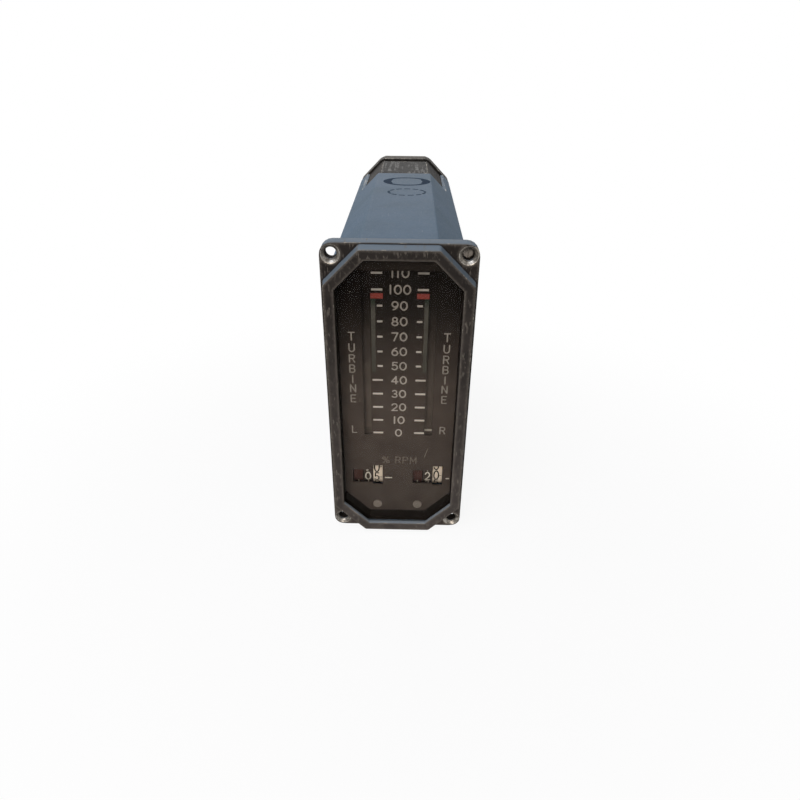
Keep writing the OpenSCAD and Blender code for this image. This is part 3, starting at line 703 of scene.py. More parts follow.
# Enamel on the bezel's casting: nearly black, slightly warm, with a blue-grey painted reflection of the light from
# above on what faces up, painted light at its foot and painted shade at its top
BEZEL_ENAMEL = WornPaint(
    "bezel_enamel", coat="#34312f", stain="#403c39", rub="#6f6a63", metal="#8b857b",
    bare_mm=0.3, rub_mm=0.8, rub_share=0.55, chips=0.8, scuffs=0.55, stain_mm=11, dirt_from=0.8,
    bloom_share=0.95, low_gain=1.5, high_gain=0.5, low_wear=0.05, scuff_mm=1.1, scuff_from=0.57)
# Blue-grey enamel on the folded sleeve, smoother than the casting and less worn
CASE_ENAMEL = WornPaint(
    "case_enamel", coat="#54697c", stain="#4e6374", rub="#8d969c", metal="#9c9b96",
    roughness=0.46, bare_mm=0.3, rub_mm=0.9, rub_share=0.35, chips=0.35, scuffs=0.22, stain_mm=30)
# Dyed anodising on the rear frame: black, with pale rubbed corners
FRAME_ANODISE = WornPaint(
    "frame_anodise", coat="#232120", stain="#2f2d2b", rub="#5c5850", metal="#8f8a82",
    bare_mm=0.4, rub_mm=1.2, chips=0.6)
# Brownish grey enamel on the rear cover, the most handled piece
COVER_ENAMEL = WornPaint(
    "cover_enamel", coat="#474440", stain="#38352f", rub="#7a746a", metal="#a09a90",
    roughness=0.48, bare_mm=0.6, chips=0.8, scuffs=0.4, stain_mm=12)
# Black anodised plate, bare, with a few scuffs
PLATE_ANODISE = WornPaint(
    "plate_anodise", coat="#2a2c2d", stain="#3a3b3b", rub="#8b8c8a", metal="#a9a59b",
    roughness=0.55, bare_mm=0.35, rub_mm=0.8, chips=1.0, scuffs=0.7, stain_mm=5,
    scuff_mm=1.5, scuff_from=0.5)
# Bare cut aluminium in the countersinks: grey with dark stains, paler than the enamel round it
CUT_ALUMINIUM = Metal(
    "cut_aluminium", "#a19d96", "#4c4843", grain_mm=(0.6, 0.08, 0.6), roughness=0.36, dullness=0.9)
# Old grease and grime in the bores, and painted shade: nearly black, as the light hardly reaches them
BORE_GREASE_AND_SHADE = Moulded("bore_grime", "#1d1a18", "#2f2b27", roughness=0.85)
# Milled aluminium plate: pale grey, with straight strokes of the cutter up it
MILLED_ALUMINIUM = Metal("milled_aluminium", "#a9abad", "#8b8c8c", grain_mm=(0.2, 0.2, 4.0))
# Zinc-plated steel: an even grey without a grain
PLATED_STEEL = Metal("plated_steel", "#9a9b9a", "#6f6c66", grain_mm=(0.3, 0.3, 0.3), roughness=0.36)
# Turned steel cans of the motors: cool grey, with fine rings about X
TURNED_STEEL = Metal("turned_steel", "#8f9294", "#6c6e70", grain_mm=(0.1, 2.5, 2.5))
# Cut steel pinions, the brightest metal inside
CUT_STEEL = Metal("cut_steel", "#b4b4b0", "#8d8c86", grain_mm=(1.5, 0.15, 0.15))
# Turned brass: warm yellow, browner where it has aged, with rings about X
TURNED_BRASS = Metal("turned_brass", "#c39a4e", "#8f7136", grain_mm=(0.1, 2.0, 2.0), roughness=0.3)
# Gold plating on the contacts: smooth and hardly dulled
GOLD_PLATE = Metal("gold_plate", "#d9b35e", "#b08d45", roughness=0.24, dullness=0.3)
# Dull steel of the screw end in the fixing hole, which hardly shines
DULL_STEEL = Metal("dull_steel", "#8b8680", "#54504b", grain_mm=(0.3, 0.3, 0.3), roughness=0.6,
                   dullness=0.9)
# Nickel on the connector's shell: grey, worn through to the brass along its edges
SHELL_NICKEL = WornPaint(
    "shell_nickel", coat="#77797a", stain="#66676a", rub="#a5a49e", metal="#c4b48a",
    roughness=0.36, bare_mm=0.3, rub_mm=0.8, chips=0.4, scuffs=0.3, stain_mm=8)
# Moulded rubber of the gaskets: dull black, greyed by dust
BLACK_RUBBER = Moulded("black_rubber", "#1a1918", "#4a4742", roughness=0.72)
# Matt black lacquer on the walls round the dial, which swallows the light
MASK_BLACK = Moulded("mask_lacquer", "#221d19", "#332d28", roughness=0.85, dusting=0.4)
# Moulded nylon of the tape drums and pulleys: dark grey with a soft sheen
DARK_NYLON = Moulded("dark_nylon", "#2c2c2e", "#4a4a4a", roughness=0.5)
# White enamel on the indexes: the left one is painted a dim grey brown, as painted shade
INDEX_PAINTED_SHADE = Moulded("index_enamel_soiled", "#5f574f", "#4a433c")
INDEX_WHITE = Moulded("index_enamel", "#c4bcb0", "#a09789", roughness=0.55)
# Moulded acetal of the counters' drums: cream, black and maroon, all three a little browned
UNITS_CREAM = Moulded("ivory_acetal", "#e8d9c6", "#bfae99", dusting=0.35)
TENS_BLACK = Moulded("black_acetal", "#453d38", "#554c46")
HUNDREDS_RED = Moulded("maroon_acetal", "#4a332e", "#5a423b")
# Moulded insert of the connector: dark green with dust in its pores
CONNECTOR_GREEN = Moulded("connector_green", "#2c3b33", "#55584c", roughness=0.62)
# Phenolic cases of the potentiometers: green, with a soft shine
POTENTIOMETER_GREEN = Moulded("green_phenolic", "#2f4a3a", "#5a6152", roughness=0.45)
# Lacquer on the heads of the dial's screws: dull and pale, as the print round them
SCREW_LACQUER = Moulded("screw_lacquer", "#8f867d", "#6f675f", roughness=0.7)
# Coated window glass: nearly clear, with a faint even reflection
WINDOW_GLASS = Glass("window_glass")
# Scratches and grains of dust on the glass, which catch the light as grey marks
GLASS_MARK = Ink("glass_mark", "#8f887c", "#5d574e", spread_mm=0.3)
# Printed inks: the whites have yellowed and thinned with age, and the red has gone brown
LEGEND_WHITE = Ink("legend_white", "#968e85", "#7d746b")
FAINT_WHITE = Ink("faint_white", "#71685f", "#655c54")
LIMIT_RED = Ink("limit_red", "#833d35", "#6b312b", spread_mm=1.2)
DIGIT_BLACK = Ink("digit_black", "#1b1817", "#3a332c")
DIGIT_WHITE = Ink("digit_white", "#d8d0c2", "#b0a796")
# Blue-black stamping ink, which lets the enamel through in places
STAMP_BLUE = Ink("stamp_blue", "#122538", "#2f465c", spread_mm=0.9)
# White background paper under and behind the object
WHITE_PAPER = StudioPaper("white_paper")


def hand_over(
    piece: Piece, body: str, finish: Optional[Finish] = None,
    replaces: Sequence[str] = ()
) -> None:
    """Give a finished piece its body and its finish, and report it.

    Args:
        piece: The piece, in its place in the frame.
        body: The body that it moves with.
        finish: Its finish, where the piece has none yet.
        replaces: The CAD nodes that it stands for.
    """
    if finish:
        piece.data.materials.clear()
        piece.data.materials.append(finish.material())
    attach(piece, body)
    if replaces:
        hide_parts(*replaces)
    log.info("%s rides on %s, %d faces", piece.name, body, len(piece.data.polygons))


def dress(finish: Finish, *nodes: str) -> None:
    """Give CAD nodes a finish and leave their shape alone.

    Args:
        finish: The finish that they take.
        *nodes: The nodes' names.
    """
    for node in nodes:
        for slot in frame["nodes"][node].material_slots:
            slot.material = finish.material()
        log.info("%s keeps its shape and is dressed as %s", node, finish.name)


def new_piece(name: str, data: bpy.types.ID) -> Piece:
    """Put a new object into the scene, at the origin.

    Args:
        name: The object's name.
        data: Its mesh, lamp or camera.

    Returns:
        The object.
    """
    piece = bpy.data.objects.new(name, data)
    bpy.context.scene.collection.objects.link(piece)
    return piece


def from_points(name: str, points: Sequence[Sequence[float]], *faces: Sequence[int]) -> Piece:
    """Make a piece of points, with faces between them or loose for a tool to use up.

    Args:
        name: The piece's name.
        points: The points.
        *faces: The places of each face's corners among the points.

    Returns:
        The piece.
    """
    mesh = bpy.data.meshes.new(name)
    mesh.from_pydata([tuple(p) for p in points], [], faces)
    return new_piece(name, mesh)


def smooth(mesh: bpy.types.Mesh, sharp_deg: float) -> None:
    """Smooth a mesh's faces, and keep its edges past this angle sharp."""
    mesh.shade_smooth()
    mesh.set_sharp_from_angle(angle=math.radians(sharp_deg))


def from_bmesh(name: str, shape: Shape, sharp_deg: float = 35.0) -> Piece:
    """Turn a bmesh into a piece with smooth faces and sharp corners.

    Args:
        name: The piece's name.
        shape: The shape, which is freed.
        sharp_deg: The angle past which an edge stays sharp.

    Returns:
        The piece.
    """
    mesh = bpy.data.meshes.new(name)
    shape.to_mesh(mesh)
    shape.free()
    smooth(mesh, sharp_deg)
    return new_piece(name, mesh)


def made_plain(piece: Piece, name: str) -> Piece:
    """Turn a piece with modifiers into a plain one, and remove the first.

    Args:
        piece: The piece with its modifiers.
        name: The plain piece's name.

    Returns:
        The plain piece.
    """
    depsgraph = bpy.context.evaluated_depsgraph_get()
    mesh = bpy.data.meshes.new_from_object(piece.evaluated_get(depsgraph))
    bpy.data.objects.remove(piece)
    mesh.name = name
    return new_piece(name, mesh)


def carved(piece: Piece, *cutters: Piece) -> Piece:
    """Cut cutters out of a piece, and remove them.

    Args:
        piece: The piece to cut.
        *cutters: Closed shapes that are taken away.

    Returns:
        The cut piece, under the same name.
    """
    name = piece.name
    piece.name = name + "_uncut"
    for cutter in cutters:
        cut = piece.modifiers.new("cut", "BOOLEAN")
        cut.operation = "DIFFERENCE"
        cut.solver = "EXACT"
        cut.object = cutter
    plain = made_plain(piece, name)
    for cutter in cutters:
        bpy.data.objects.remove(cutter)
    smooth(plain.data, sharp_deg=30)
    return plain


def welded(node: str) -> Shape:
    """Copy a CAD node's loose triangles as one merged shape.

    Args:
        node: The node's name.

    Returns:
        The shape, for the caller to free.
    """
    shape = bmesh.new()
    shape.from_mesh(frame["nodes"][node].data)
    bmesh.ops.remove_doubles(shape, verts=shape.verts, dist=WELD)
    return shape


def revolved(profile: Sequence[Point], steps: int) -> Shape:
    """Turn a profile about the Y axis into a closed shape.

    Args:
        profile: Points of radius and Y, from one end on the axis to the other end on the axis.
        steps: How many faces go round.

    Returns:
        The shape, with outward faces.
    """
    shape = bmesh.new()
    rings = []
    for radius, y in profile:
        if radius < TINY:
            rings.append([shape.verts.new((0, y, 0))])
        else:
            turns = [2 * math.pi * k / steps for k in range(steps)]
            rings.append([
                shape.verts.new((radius * math.cos(a), y, radius * math.sin(a))) for a in turns])
    for lower, upper in zip(rings, rings[1:]):
        for k in range(steps):
            corners = [
                lower[k % len(lower)], lower[(k + 1) % len(lower)],
                upper[(k + 1) % len(upper)], upper[k % len(upper)]]
            face = list(dict.fromkeys(corners))
            if len(face) > 2:
                shape.faces.new(face)
    bmesh.ops.recalc_face_normals(shape, faces=shape.faces)
    return shape


def slab(name: str, low: Sequence[float], high: Sequence[float]) -> Piece:
    """Make a box.

    Args:
        name: The piece's name.
        low: Its lowest corner.
        high: Its highest corner.

    Returns:
        The box.
    """
    shape = bmesh.new()
    middle = [(a + b) / 2 for a, b in zip(low, high)]
    size = [b - a for a, b in zip(low, high)]
    place = Matrix.Translation(middle) @ Matrix.Diagonal((*size, 1))
    bmesh.ops.create_cube(shape, size=1, matrix=place)
    return from_bmesh(name, shape)


def screw_places(node: str, seat_y: float) -> list[Vector]:
    """Find where a node's screws stand, from the middles of its separate pieces.

    Args:
        node: A CAD node of several screws along Y.
        seat_y: The depth of the face that their heads sit on.

    Returns:
        One point on that face for each screw.
    """
    shape = welded(node)
    places, left = [], set(shape.verts)
    while left:
        group, edge = set(), [next(iter(left))]
        while edge:
            vertex = edge.pop()
            if vertex in group:
                continue
            group.add(vertex)
            edge += [e.other_vert(vertex) for e in vertex.link_edges]
        left -= group
        xs, zs = [v.co.x for v in group], [v.co.z for v in group]
        places.append(Vector(((min(xs) + max(xs)) / 2, seat_y, (min(zs) + max(zs)) / 2)))
    shape.free()
    return sorted(places, key=lambda p: (round(p.x, 5), round(p.z, 5)))


@dataclass(frozen=True)
class ArcMove:
    """Takes the points of one arc, seen along Y, to an arc with another middle and radius."""

    old: Point
    old_r: float
    new: Point
    new_r: float
    depth: Optional[float] = None
    slack: float = 0.02 * MM

    def apply(self, shape: Shape) -> None:
        """Move the arc's points. With a depth, only those at that Y move.

        Args:
            shape: The shape whose points move.
        """
        for vertex in shape.verts:
            x, z = vertex.co.x - self.old[0], vertex.co.z - self.old[1]
            on_arc = abs(math.hypot(x, z) - self.old_r) < self.slack
            outwards = x * self.old[0] > -self.slack**2 and z * self.old[1] > -self.slack**2
            if on_arc and outwards and (
                    self.depth is None or abs(vertex.co.y - self.depth) < self.slack):
                ratio = self.new_r / self.old_r
                vertex.co.x = self.new[0] + x * ratio
                vertex.co.z = self.new[1] + z * ratio


@dataclass
class EdgeWork:
    """Rounds the sharp edges of a copy of a CAD node, and marks how near each point is to an edge.

    The marks run from 1 on an edge to 0 at REACH_MM from it, one for edges that stand out and one
    for creases, and the worn finishes read them. Faces that meet within FLAT_DEG are one face.
    """

    EDGE = "edge_near"
    CREASE = "crease_near"
    REACH_MM = 4.0
    FLAT_DEG = 0.5

    round_mm: float
    cell_mm: float
    steps: int = 2
    sharp_deg: float = 28.0
    sample_mm: float = 0.3
    moves: Sequence[ArcMove] = ()

    def replace(
        self, node: str, name: str, slot: str, *finishes: Finish,
        which: Optional[Callable[[Vector], int]] = None
    ) -> None:
        """Put a worked copy on the root body in a CAD node's place.

        Args:
            node: The CAD node.
            name: The new piece's name.
            slot: The record's material slot; not used.
            *finishes: The piece's finishes, the main one first.
            which: Says by a face's middle which of the finishes the face takes.
        """
        shape = welded(node)
        bmesh.ops.dissolve_limit(
            shape, angle_limit=math.radians(self.FLAT_DEG), verts=shape.verts, edges=shape.edges)
        for move in self.moves:
            move.apply(shape)
        sharp = [
            e for e in shape.edges
            if len(e.link_faces) == 2 and e.calc_face_angle() > math.radians(self.sharp_deg)]
        convex = [e for e in sharp if e.is_convex]
        marks = {
            self.EDGE: self._samples(convex),
            self.CREASE: self._samples([e for e in sharp if not e.is_convex])}
        bmesh.ops.bevel(
            shape, geom=convex, offset=self.round_mm * MM, offset_type="OFFSET",
            segments=self.steps, profile=0.5, affect="EDGES", clamp_overlap=False)
        bmesh.ops.remove_doubles(shape, verts=shape.verts, dist=WELD / 2)
        self._divide(shape)
        for mark, tree in marks.items():
            layer = shape.verts.layers.float.new(mark)
            for vertex in shape.verts:
                distance = tree.find(vertex.co)[2] if tree else self.REACH_MM * MM
                vertex[layer] = max(0.0, 1 - distance / (self.REACH_MM * MM))
        if which:
            for face in shape.faces:
                face.material_index = which(face.calc_center_median())
        piece = from_bmesh(name, shape)
        for finish in finishes:
            piece.data.materials.append(finish.material())
        hand_over(piece, "root", replaces=[node])

    def _samples(self, edges: Sequence[bmesh.types.BMEdge]) -> Optional[KDTree]:
        """Spread points along edges for the search of the nearest.

        Args:
            edges: The edges.

        Returns:
            The points' search tree, or None without edges.
        """
        points = []
        for edge in edges:
            start, end = (vertex.co.copy() for vertex in edge.verts)
            count = max(1, round((end - start).length / (self.sample_mm * MM)))
            points += [start.lerp(end, k / count) for k in range(count + 1)]
        if not points:
            return None
        tree = KDTree(len(points))
        for place, point in enumerate(points):
            tree.insert(point, place)
        tree.balance()
        return tree

    def _divide(self, shape: Shape) -> None:
        """Cut the faces along a grid of cells, so that the marks are true inside them.

        Args:
            shape: The shape that is cut.
        """
        for axis in range(3):
            places = [vertex.co[axis] for vertex in shape.verts]
            low, span = min(places), max(places) - min(places)
            count = math.ceil(span / (self.cell_mm * MM))
            normal = Vector([float(k == axis) for k in range(3)])
            for step in range(1, count):
                bmesh.ops.bisect_plane(
                    shape, geom=[*shape.verts, *shape.edges, *shape.faces], dist=TINY,
                    plane_co=normal * (low + span * step / count), plane_no=normal)


@dataclass
class NodeTool:
    """A Geometry Nodes tree with named inputs. Each kind of tool builds its own tree once."""

    name: str

    def build(self, tree: Tree, given: dict[str, Socket]) -> Socket:
        """Return the geometry that the tree makes of its inputs."""
        raise NotImplementedError

    def inputs(self) -> dict[str, str]:
        """Return the names and socket types of the tree's inputs after the geometry."""
        raise NotImplementedError

    def run(self, name: str, source: Piece, finish: Finish, **values: Any) -> Piece:
        """Run the tool on a piece and make the result plain.

        Args:
            name: The new piece's name.
            source: The piece that carries the tool's points or edges, which is used up.
            finish: The finish that the result takes.
            **values: The tool's inputs by their names.

        Returns:
            The plain piece.
        """
        tree = bpy.data.node_groups.get(self.name) or self._tree()
        modifier = source.modifiers.new(self.name, "NODES")
        modifier.node_group = tree
        values["Material"] = finish.material()
        for item in tree.interface.items_tree:
            if item.in_out == "INPUT" and item.name in values:
                modifier[item.identifier] = values[item.name]
        source.update_tag()
        plain = made_plain(source, name)
        smooth(plain.data, sharp_deg=40)
        return plain

    def _tree(self) -> Tree:
        """Build the tree with its inputs, and end it with plain geometry in one material.

        Returns:
            The finished tree.
        """
        tree = bpy.data.node_groups.new(self.name, "GeometryNodeTree")
        tree.interface.new_socket("Geometry", in_out="OUTPUT", socket_type="NodeSocketGeometry")
        kinds = {"Geometry": "NodeSocketGeometry", **self.inputs(), "Material": "NodeSocketMaterial"}
        for name, kind in kinds.items():
            tree.interface.new_socket(name, in_out="INPUT", socket_type=kind)
        entry = tree.nodes.new("NodeGroupInput")
        made = self.build(tree, {name: entry.outputs[name] for name in kinds})
        plain = add(tree, "GeometryNodeRealizeInstances", {"Geometry": made})
        dressed = add(tree, "GeometryNodeSetMaterial", {
            "Geometry": plain, "Material": entry.outputs["Material"]})
        add(tree, "NodeGroupOutput", {"Geometry": dressed})
        return tree


@dataclass
class FlatStrokes(NodeTool):
    """Lays a round bead with round ends along each stroke, and presses it flat on a plane.

    A bead has SIDES sides and a ring at each STEP of its length. Ends nearer than MEETING are one.
    """

    STEP = 0.3 * MM
    SIDES = 6
    MEETING = 0.02 * MM

    name: str = "flat_strokes"

    def inputs(self) -> dict[str, str]:
        """Return the stroke's width, its relief and the plane's depth."""
        return {"Width": "NodeSocketFloat", "Relief": "NodeSocketFloat", "Depth": "NodeSocketFloat"}

    def beads(self, tree: Tree, given: dict[str, Socket]) -> Socket:
        """Build the flat beads about the plane through the axis.

        Args:
            tree: The tool's tree.
            given: The tree's inputs by name.

        Returns:
            The beads, with Y as their thickness.
        """
        radius = add(tree, "ShaderNodeMath", {0: given["Width"], 1: 0.5}, operation="MULTIPLY")
        path = add(tree, "GeometryNodeMeshToCurve", {"Mesh": given["Geometry"]})
        path = add(tree, "GeometryNodeResampleCurve", {"Curve": path, "Length": self.STEP},
                   mode="LENGTH")
        ring = add(tree, "GeometryNodeCurvePrimitiveCircle", {
            "Resolution": self.SIDES, "Radius": radius})
        bead = add(tree, "GeometryNodeCurveToMesh", {
            "Curve": path, "Profile Curve": ring, "Fill Caps": True})
        ball = add(tree, "GeometryNodeMeshIcoSphere", {"Radius": radius, "Subdivisions": 2})
        # A stroke's end has one neighbour, and strokes that meet at a corner share one round end
        neighbours = add(tree, "GeometryNodeInputMeshVertexNeighbors", out="Vertex Count")
        is_end = add(tree, "ShaderNodeMath", {0: neighbours, 1: 1.5}, operation="LESS_THAN")
        places = add(tree, "GeometryNodeMeshToPoints", {
            "Mesh": given["Geometry"], "Selection": is_end})
        places = add(tree, "GeometryNodeMergeByDistance", {
            "Geometry": places, "Distance": self.MEETING})
        ends = add(tree, "GeometryNodeInstanceOnPoints", {"Points": places, "Instance": ball})
        ends = add(tree, "GeometryNodeRealizeInstances", {"Geometry": ends})
        both = add(tree, "GeometryNodeJoinGeometry", {"Geometry": [bead, ends]})
        pressed = add(tree, "ShaderNodeMath", {0: given["Relief"], 1: radius}, operation="DIVIDE")
        scale = add(tree, "ShaderNodeCombineXYZ", {"X": 1.0, "Y": pressed, "Z": 1.0})
        return add(tree, "GeometryNodeTransform", {"Geometry": both, "Scale": scale})

    def build(self, tree: Tree, given: dict[str, Socket]) -> Socket:
        """Build the beads and move them to their plane.

        Args:
            tree: The tool's tree.
            given: The tree's inputs by name.

        Returns:
            The beads on the plane.
        """
        place = add(tree, "ShaderNodeCombineXYZ", {"Y": given["Depth"]})
        return add(tree, "GeometryNodeTransform", {
            "Geometry": self.beads(tree, given), "Translation": place})


@dataclass
class DrumStrokes(FlatStrokes):
    """Lays flat beads and wraps them about a drum's axis, so that Z becomes the way round it."""

    name: str = "drum_strokes"

    def inputs(self) -> dict[str, str]:
        """Return the flat tool's inputs with the drum's radius and axis."""
        return {**super().inputs(), "Radius": "NodeSocketFloat", "Height": "NodeSocketFloat"}

    def build(self, tree: Tree, given: dict[str, Socket]) -> Socket:
        """Build the beads and wrap them round the drum.

        Args:
            tree: The tool's tree.
            given: The tree's inputs by name, with the axis at Depth and Height.

        Returns:
            The beads on the drum.
        """
        here = add(tree, "ShaderNodeSeparateXYZ", {0: add(tree, "GeometryNodeInputPosition")})
        x, y, z = here.node.outputs
        angle = add(tree, "ShaderNodeMath", {0: z, 1: given["Radius"]}, operation="DIVIDE")
        reach = add(tree, "ShaderNodeMath", {0: given["Radius"], 1: y}, operation="SUBTRACT")
        front = add(tree, "ShaderNodeMath", {
            0: reach, 1: add(tree, "ShaderNodeMath", {0: angle}, operation="COSINE")},
            operation="MULTIPLY")
        depth = add(tree, "ShaderNodeMath", {0: given["Depth"], 1: front}, operation="SUBTRACT")
        height = add(tree, "ShaderNodeMath", {
            0: reach, 1: add(tree, "ShaderNodeMath", {0: angle}, operation="SINE"),
            2: given["Height"]}, operation="MULTIPLY_ADD")
        return add(tree, "GeometryNodeSetPosition", {
            "Geometry": self.beads(tree, given),
            "Position": add(tree, "ShaderNodeCombineXYZ", {"X": x, "Y": depth, "Z": height})})


@dataclass
class TickLadder(NodeTool):
    """Sets a row of flat ticks up a scale. Ticks from one number to another are the short ones."""

    name: str = "tick_ladder"

    def inputs(self) -> dict[str, str]:
        """Name the ladder's count, places and sizes.

        Returns:
            The inputs' names and socket types.
        """
        lengths = ("Zero", "Pitch", "Inner", "Long", "Short", "Thickness", "Relief", "Depth", "Sign")
        counts = ("Count", "First short", "Last short")
        return {**dict.fromkeys(counts, "NodeSocketInt"), **dict.fromkeys(lengths, "NodeSocketFloat")}

    def build(self, tree: Tree, given: dict[str, Socket]) -> Socket:
        """Build the ladder.

        Args:
            tree: The tool's tree.
            given: The tree's inputs by name.

        Returns:
            The ticks.
        """
        number = add(tree, "GeometryNodeInputIndex")
        after = add(tree, "FunctionNodeCompare", {2: number, 3: given["First short"]},
                    data_type="INT", operation="GREATER_EQUAL")
        before = add(tree, "FunctionNodeCompare", {2: number, 3: given["Last short"]},
                     data_type="INT", operation="LESS_EQUAL")
        short = add(tree, "FunctionNodeBooleanMath", {0: after, 1: before}, operation="AND")
        length = add(tree, "GeometryNodeSwitch", {
            "Switch": short, "False": given["Long"], "True": given["Short"]}, input_type="FLOAT")
        half = add(tree, "ShaderNodeMath", {0: length, 1: 0.5, 2: given["Inner"]},
                   operation="MULTIPLY_ADD")
        across = add(tree, "ShaderNodeMath", {0: half, 1: given["Sign"]}, operation="MULTIPLY")
        start = add(tree, "ShaderNodeCombineXYZ", {"Y": given["Depth"], "Z": given["Zero"]})
        points = add(tree, "GeometryNodeMeshLine", {
            "Count": given["Count"], "Start Location": start,
            "Offset": add(tree, "ShaderNodeCombineXYZ", {"Z": given["Pitch"]})})
        points = add(tree, "GeometryNodeSetPosition", {
            "Geometry": points, "Offset": add(tree, "ShaderNodeCombineXYZ", {"X": across})})
        thin = add(tree, "ShaderNodeMath", {0: given["Relief"], 1: 2.0}, operation="MULTIPLY")
        size = add(tree, "ShaderNodeCombineXYZ", {"X": length, "Y": thin, "Z": given["Thickness"]})
        bar = add(tree, "GeometryNodeMeshCube", {"Size": (1.0, 1.0, 1.0)})
        return add(tree, "GeometryNodeInstanceOnPoints", {
            "Points": points, "Instance": bar, "Scale": size})


@dataclass
class FittedParts(NodeTool):
    """Sets a copy of a part at each point, each turned about Y by its own chance amount."""

    name: str = "fitted_parts"

    def fit(
        self, name: str, part: Piece, places: Sequence[Vector], finish: Finish, slot: str,
        seed: int, turn: float = 0.0, replaces: Sequence[str] = ()
    ) -> None:
        """Set copies of a part on the root body, as one piece.

        Args:
            name: The new piece's name.
            part: The part, which is used up.
            places: Where the copies go.
            finish: The finish that they take.
            slot: The record's material slot; not used.
            seed: What the turns are drawn from.
            turn: The largest turn of a copy, in radians.
            replaces: The CAD nodes that the copies stand for.
        """
        copies = self.run(
            name, from_points("places", places), finish, Part=part, Turn=turn, Seed=seed)
        bpy.data.objects.remove(part)
        hand_over(copies, "root", replaces=replaces)

    def inputs(self) -> dict[str, str]:
        """Return the part, its largest turn and the seed."""
        return {
            "Part": "NodeSocketObject", "Turn": "NodeSocketFloat", "Seed": "NodeSocketInt"}

    def build(self, tree: Tree, given: dict[str, Socket]) -> Socket:
        """Build the copies.

        Args:
            tree: The tool's tree.
            given: The tree's inputs by name.

        Returns:
            The fitted parts.
        """
        part = add(tree, "GeometryNodeObjectInfo", {"Object": given["Part"]}, "Geometry")
        turn = add(tree, "FunctionNodeRandomValue", {
            2: 0.0, 3: given["Turn"], "Seed": given["Seed"]}, 1, data_type="FLOAT")
        turned = add(tree, "FunctionNodeAxisAngleToRotation", {
            "Axis": (0.0, 1.0, 0.0), "Angle": turn})
        return add(tree, "GeometryNodeInstanceOnPoints", {
            "Points": given["Geometry"], "Instance": part, "Rotation": turned})


@dataclass
class Specks(NodeTool):
    """Scatters small flat grains of dust over a face, from the least share of their size to all."""

    LEAST = 0.35
    FLATNESS = 0.15

    name: str = "specks"

    def inputs(self) -> dict[str, str]:
        """Return the grains' number per square metre, size and seed."""
        return {
            "Density": "NodeSocketFloat", "Size": "NodeSocketFloat", "Seed": "NodeSocketInt"}

    def build(self, tree: Tree, given: dict[str, Socket]) -> Socket:
        """Build the grains.

        Args:
            tree: The tool's tree.
            given: The tree's inputs by name.

        Returns:
            The grains.
        """
        points = add(tree, "GeometryNodeDistributePointsOnFaces", {
            "Mesh": given["Geometry"], "Density": given["Density"], "Seed": given["Seed"]})
        grain = add(tree, "GeometryNodeMeshIcoSphere", {"Radius": given["Size"], "Subdivisions": 1})
        size = add(tree, "FunctionNodeRandomValue", {
            2: self.LEAST, 3: 1.0, "Seed": given["Seed"]}, 1, data_type="FLOAT")
        flat = add(tree, "ShaderNodeCombineXYZ", {"X": size, "Y": self.FLATNESS, "Z": size})
        return add(tree, "GeometryNodeInstanceOnPoints", {
            "Points": points, "Instance": grain, "Scale": flat})


def arc(centre: Point, radii: Point, start: float, end: float, step: float = 15.0) -> Stroke:
    """Return the points of an arc.

    Args:
        centre: The middle of its ellipse.
        radii: The ellipse's two radii.
        start: The first angle in degrees, from +X towards +Z.
        end: The last angle in degrees.
        step: The largest angle between two points.

    Returns:
        The points, both ends included.
    """
    count = max(2, math.ceil(abs(end - start) / step))
    turns = [math.radians(start + (end - start) * k / count) for k in range(count + 1)]
    return [
        (centre[0] + radii[0] * math.cos(a), centre[1] + radii[1] * math.sin(a)) for a in turns]


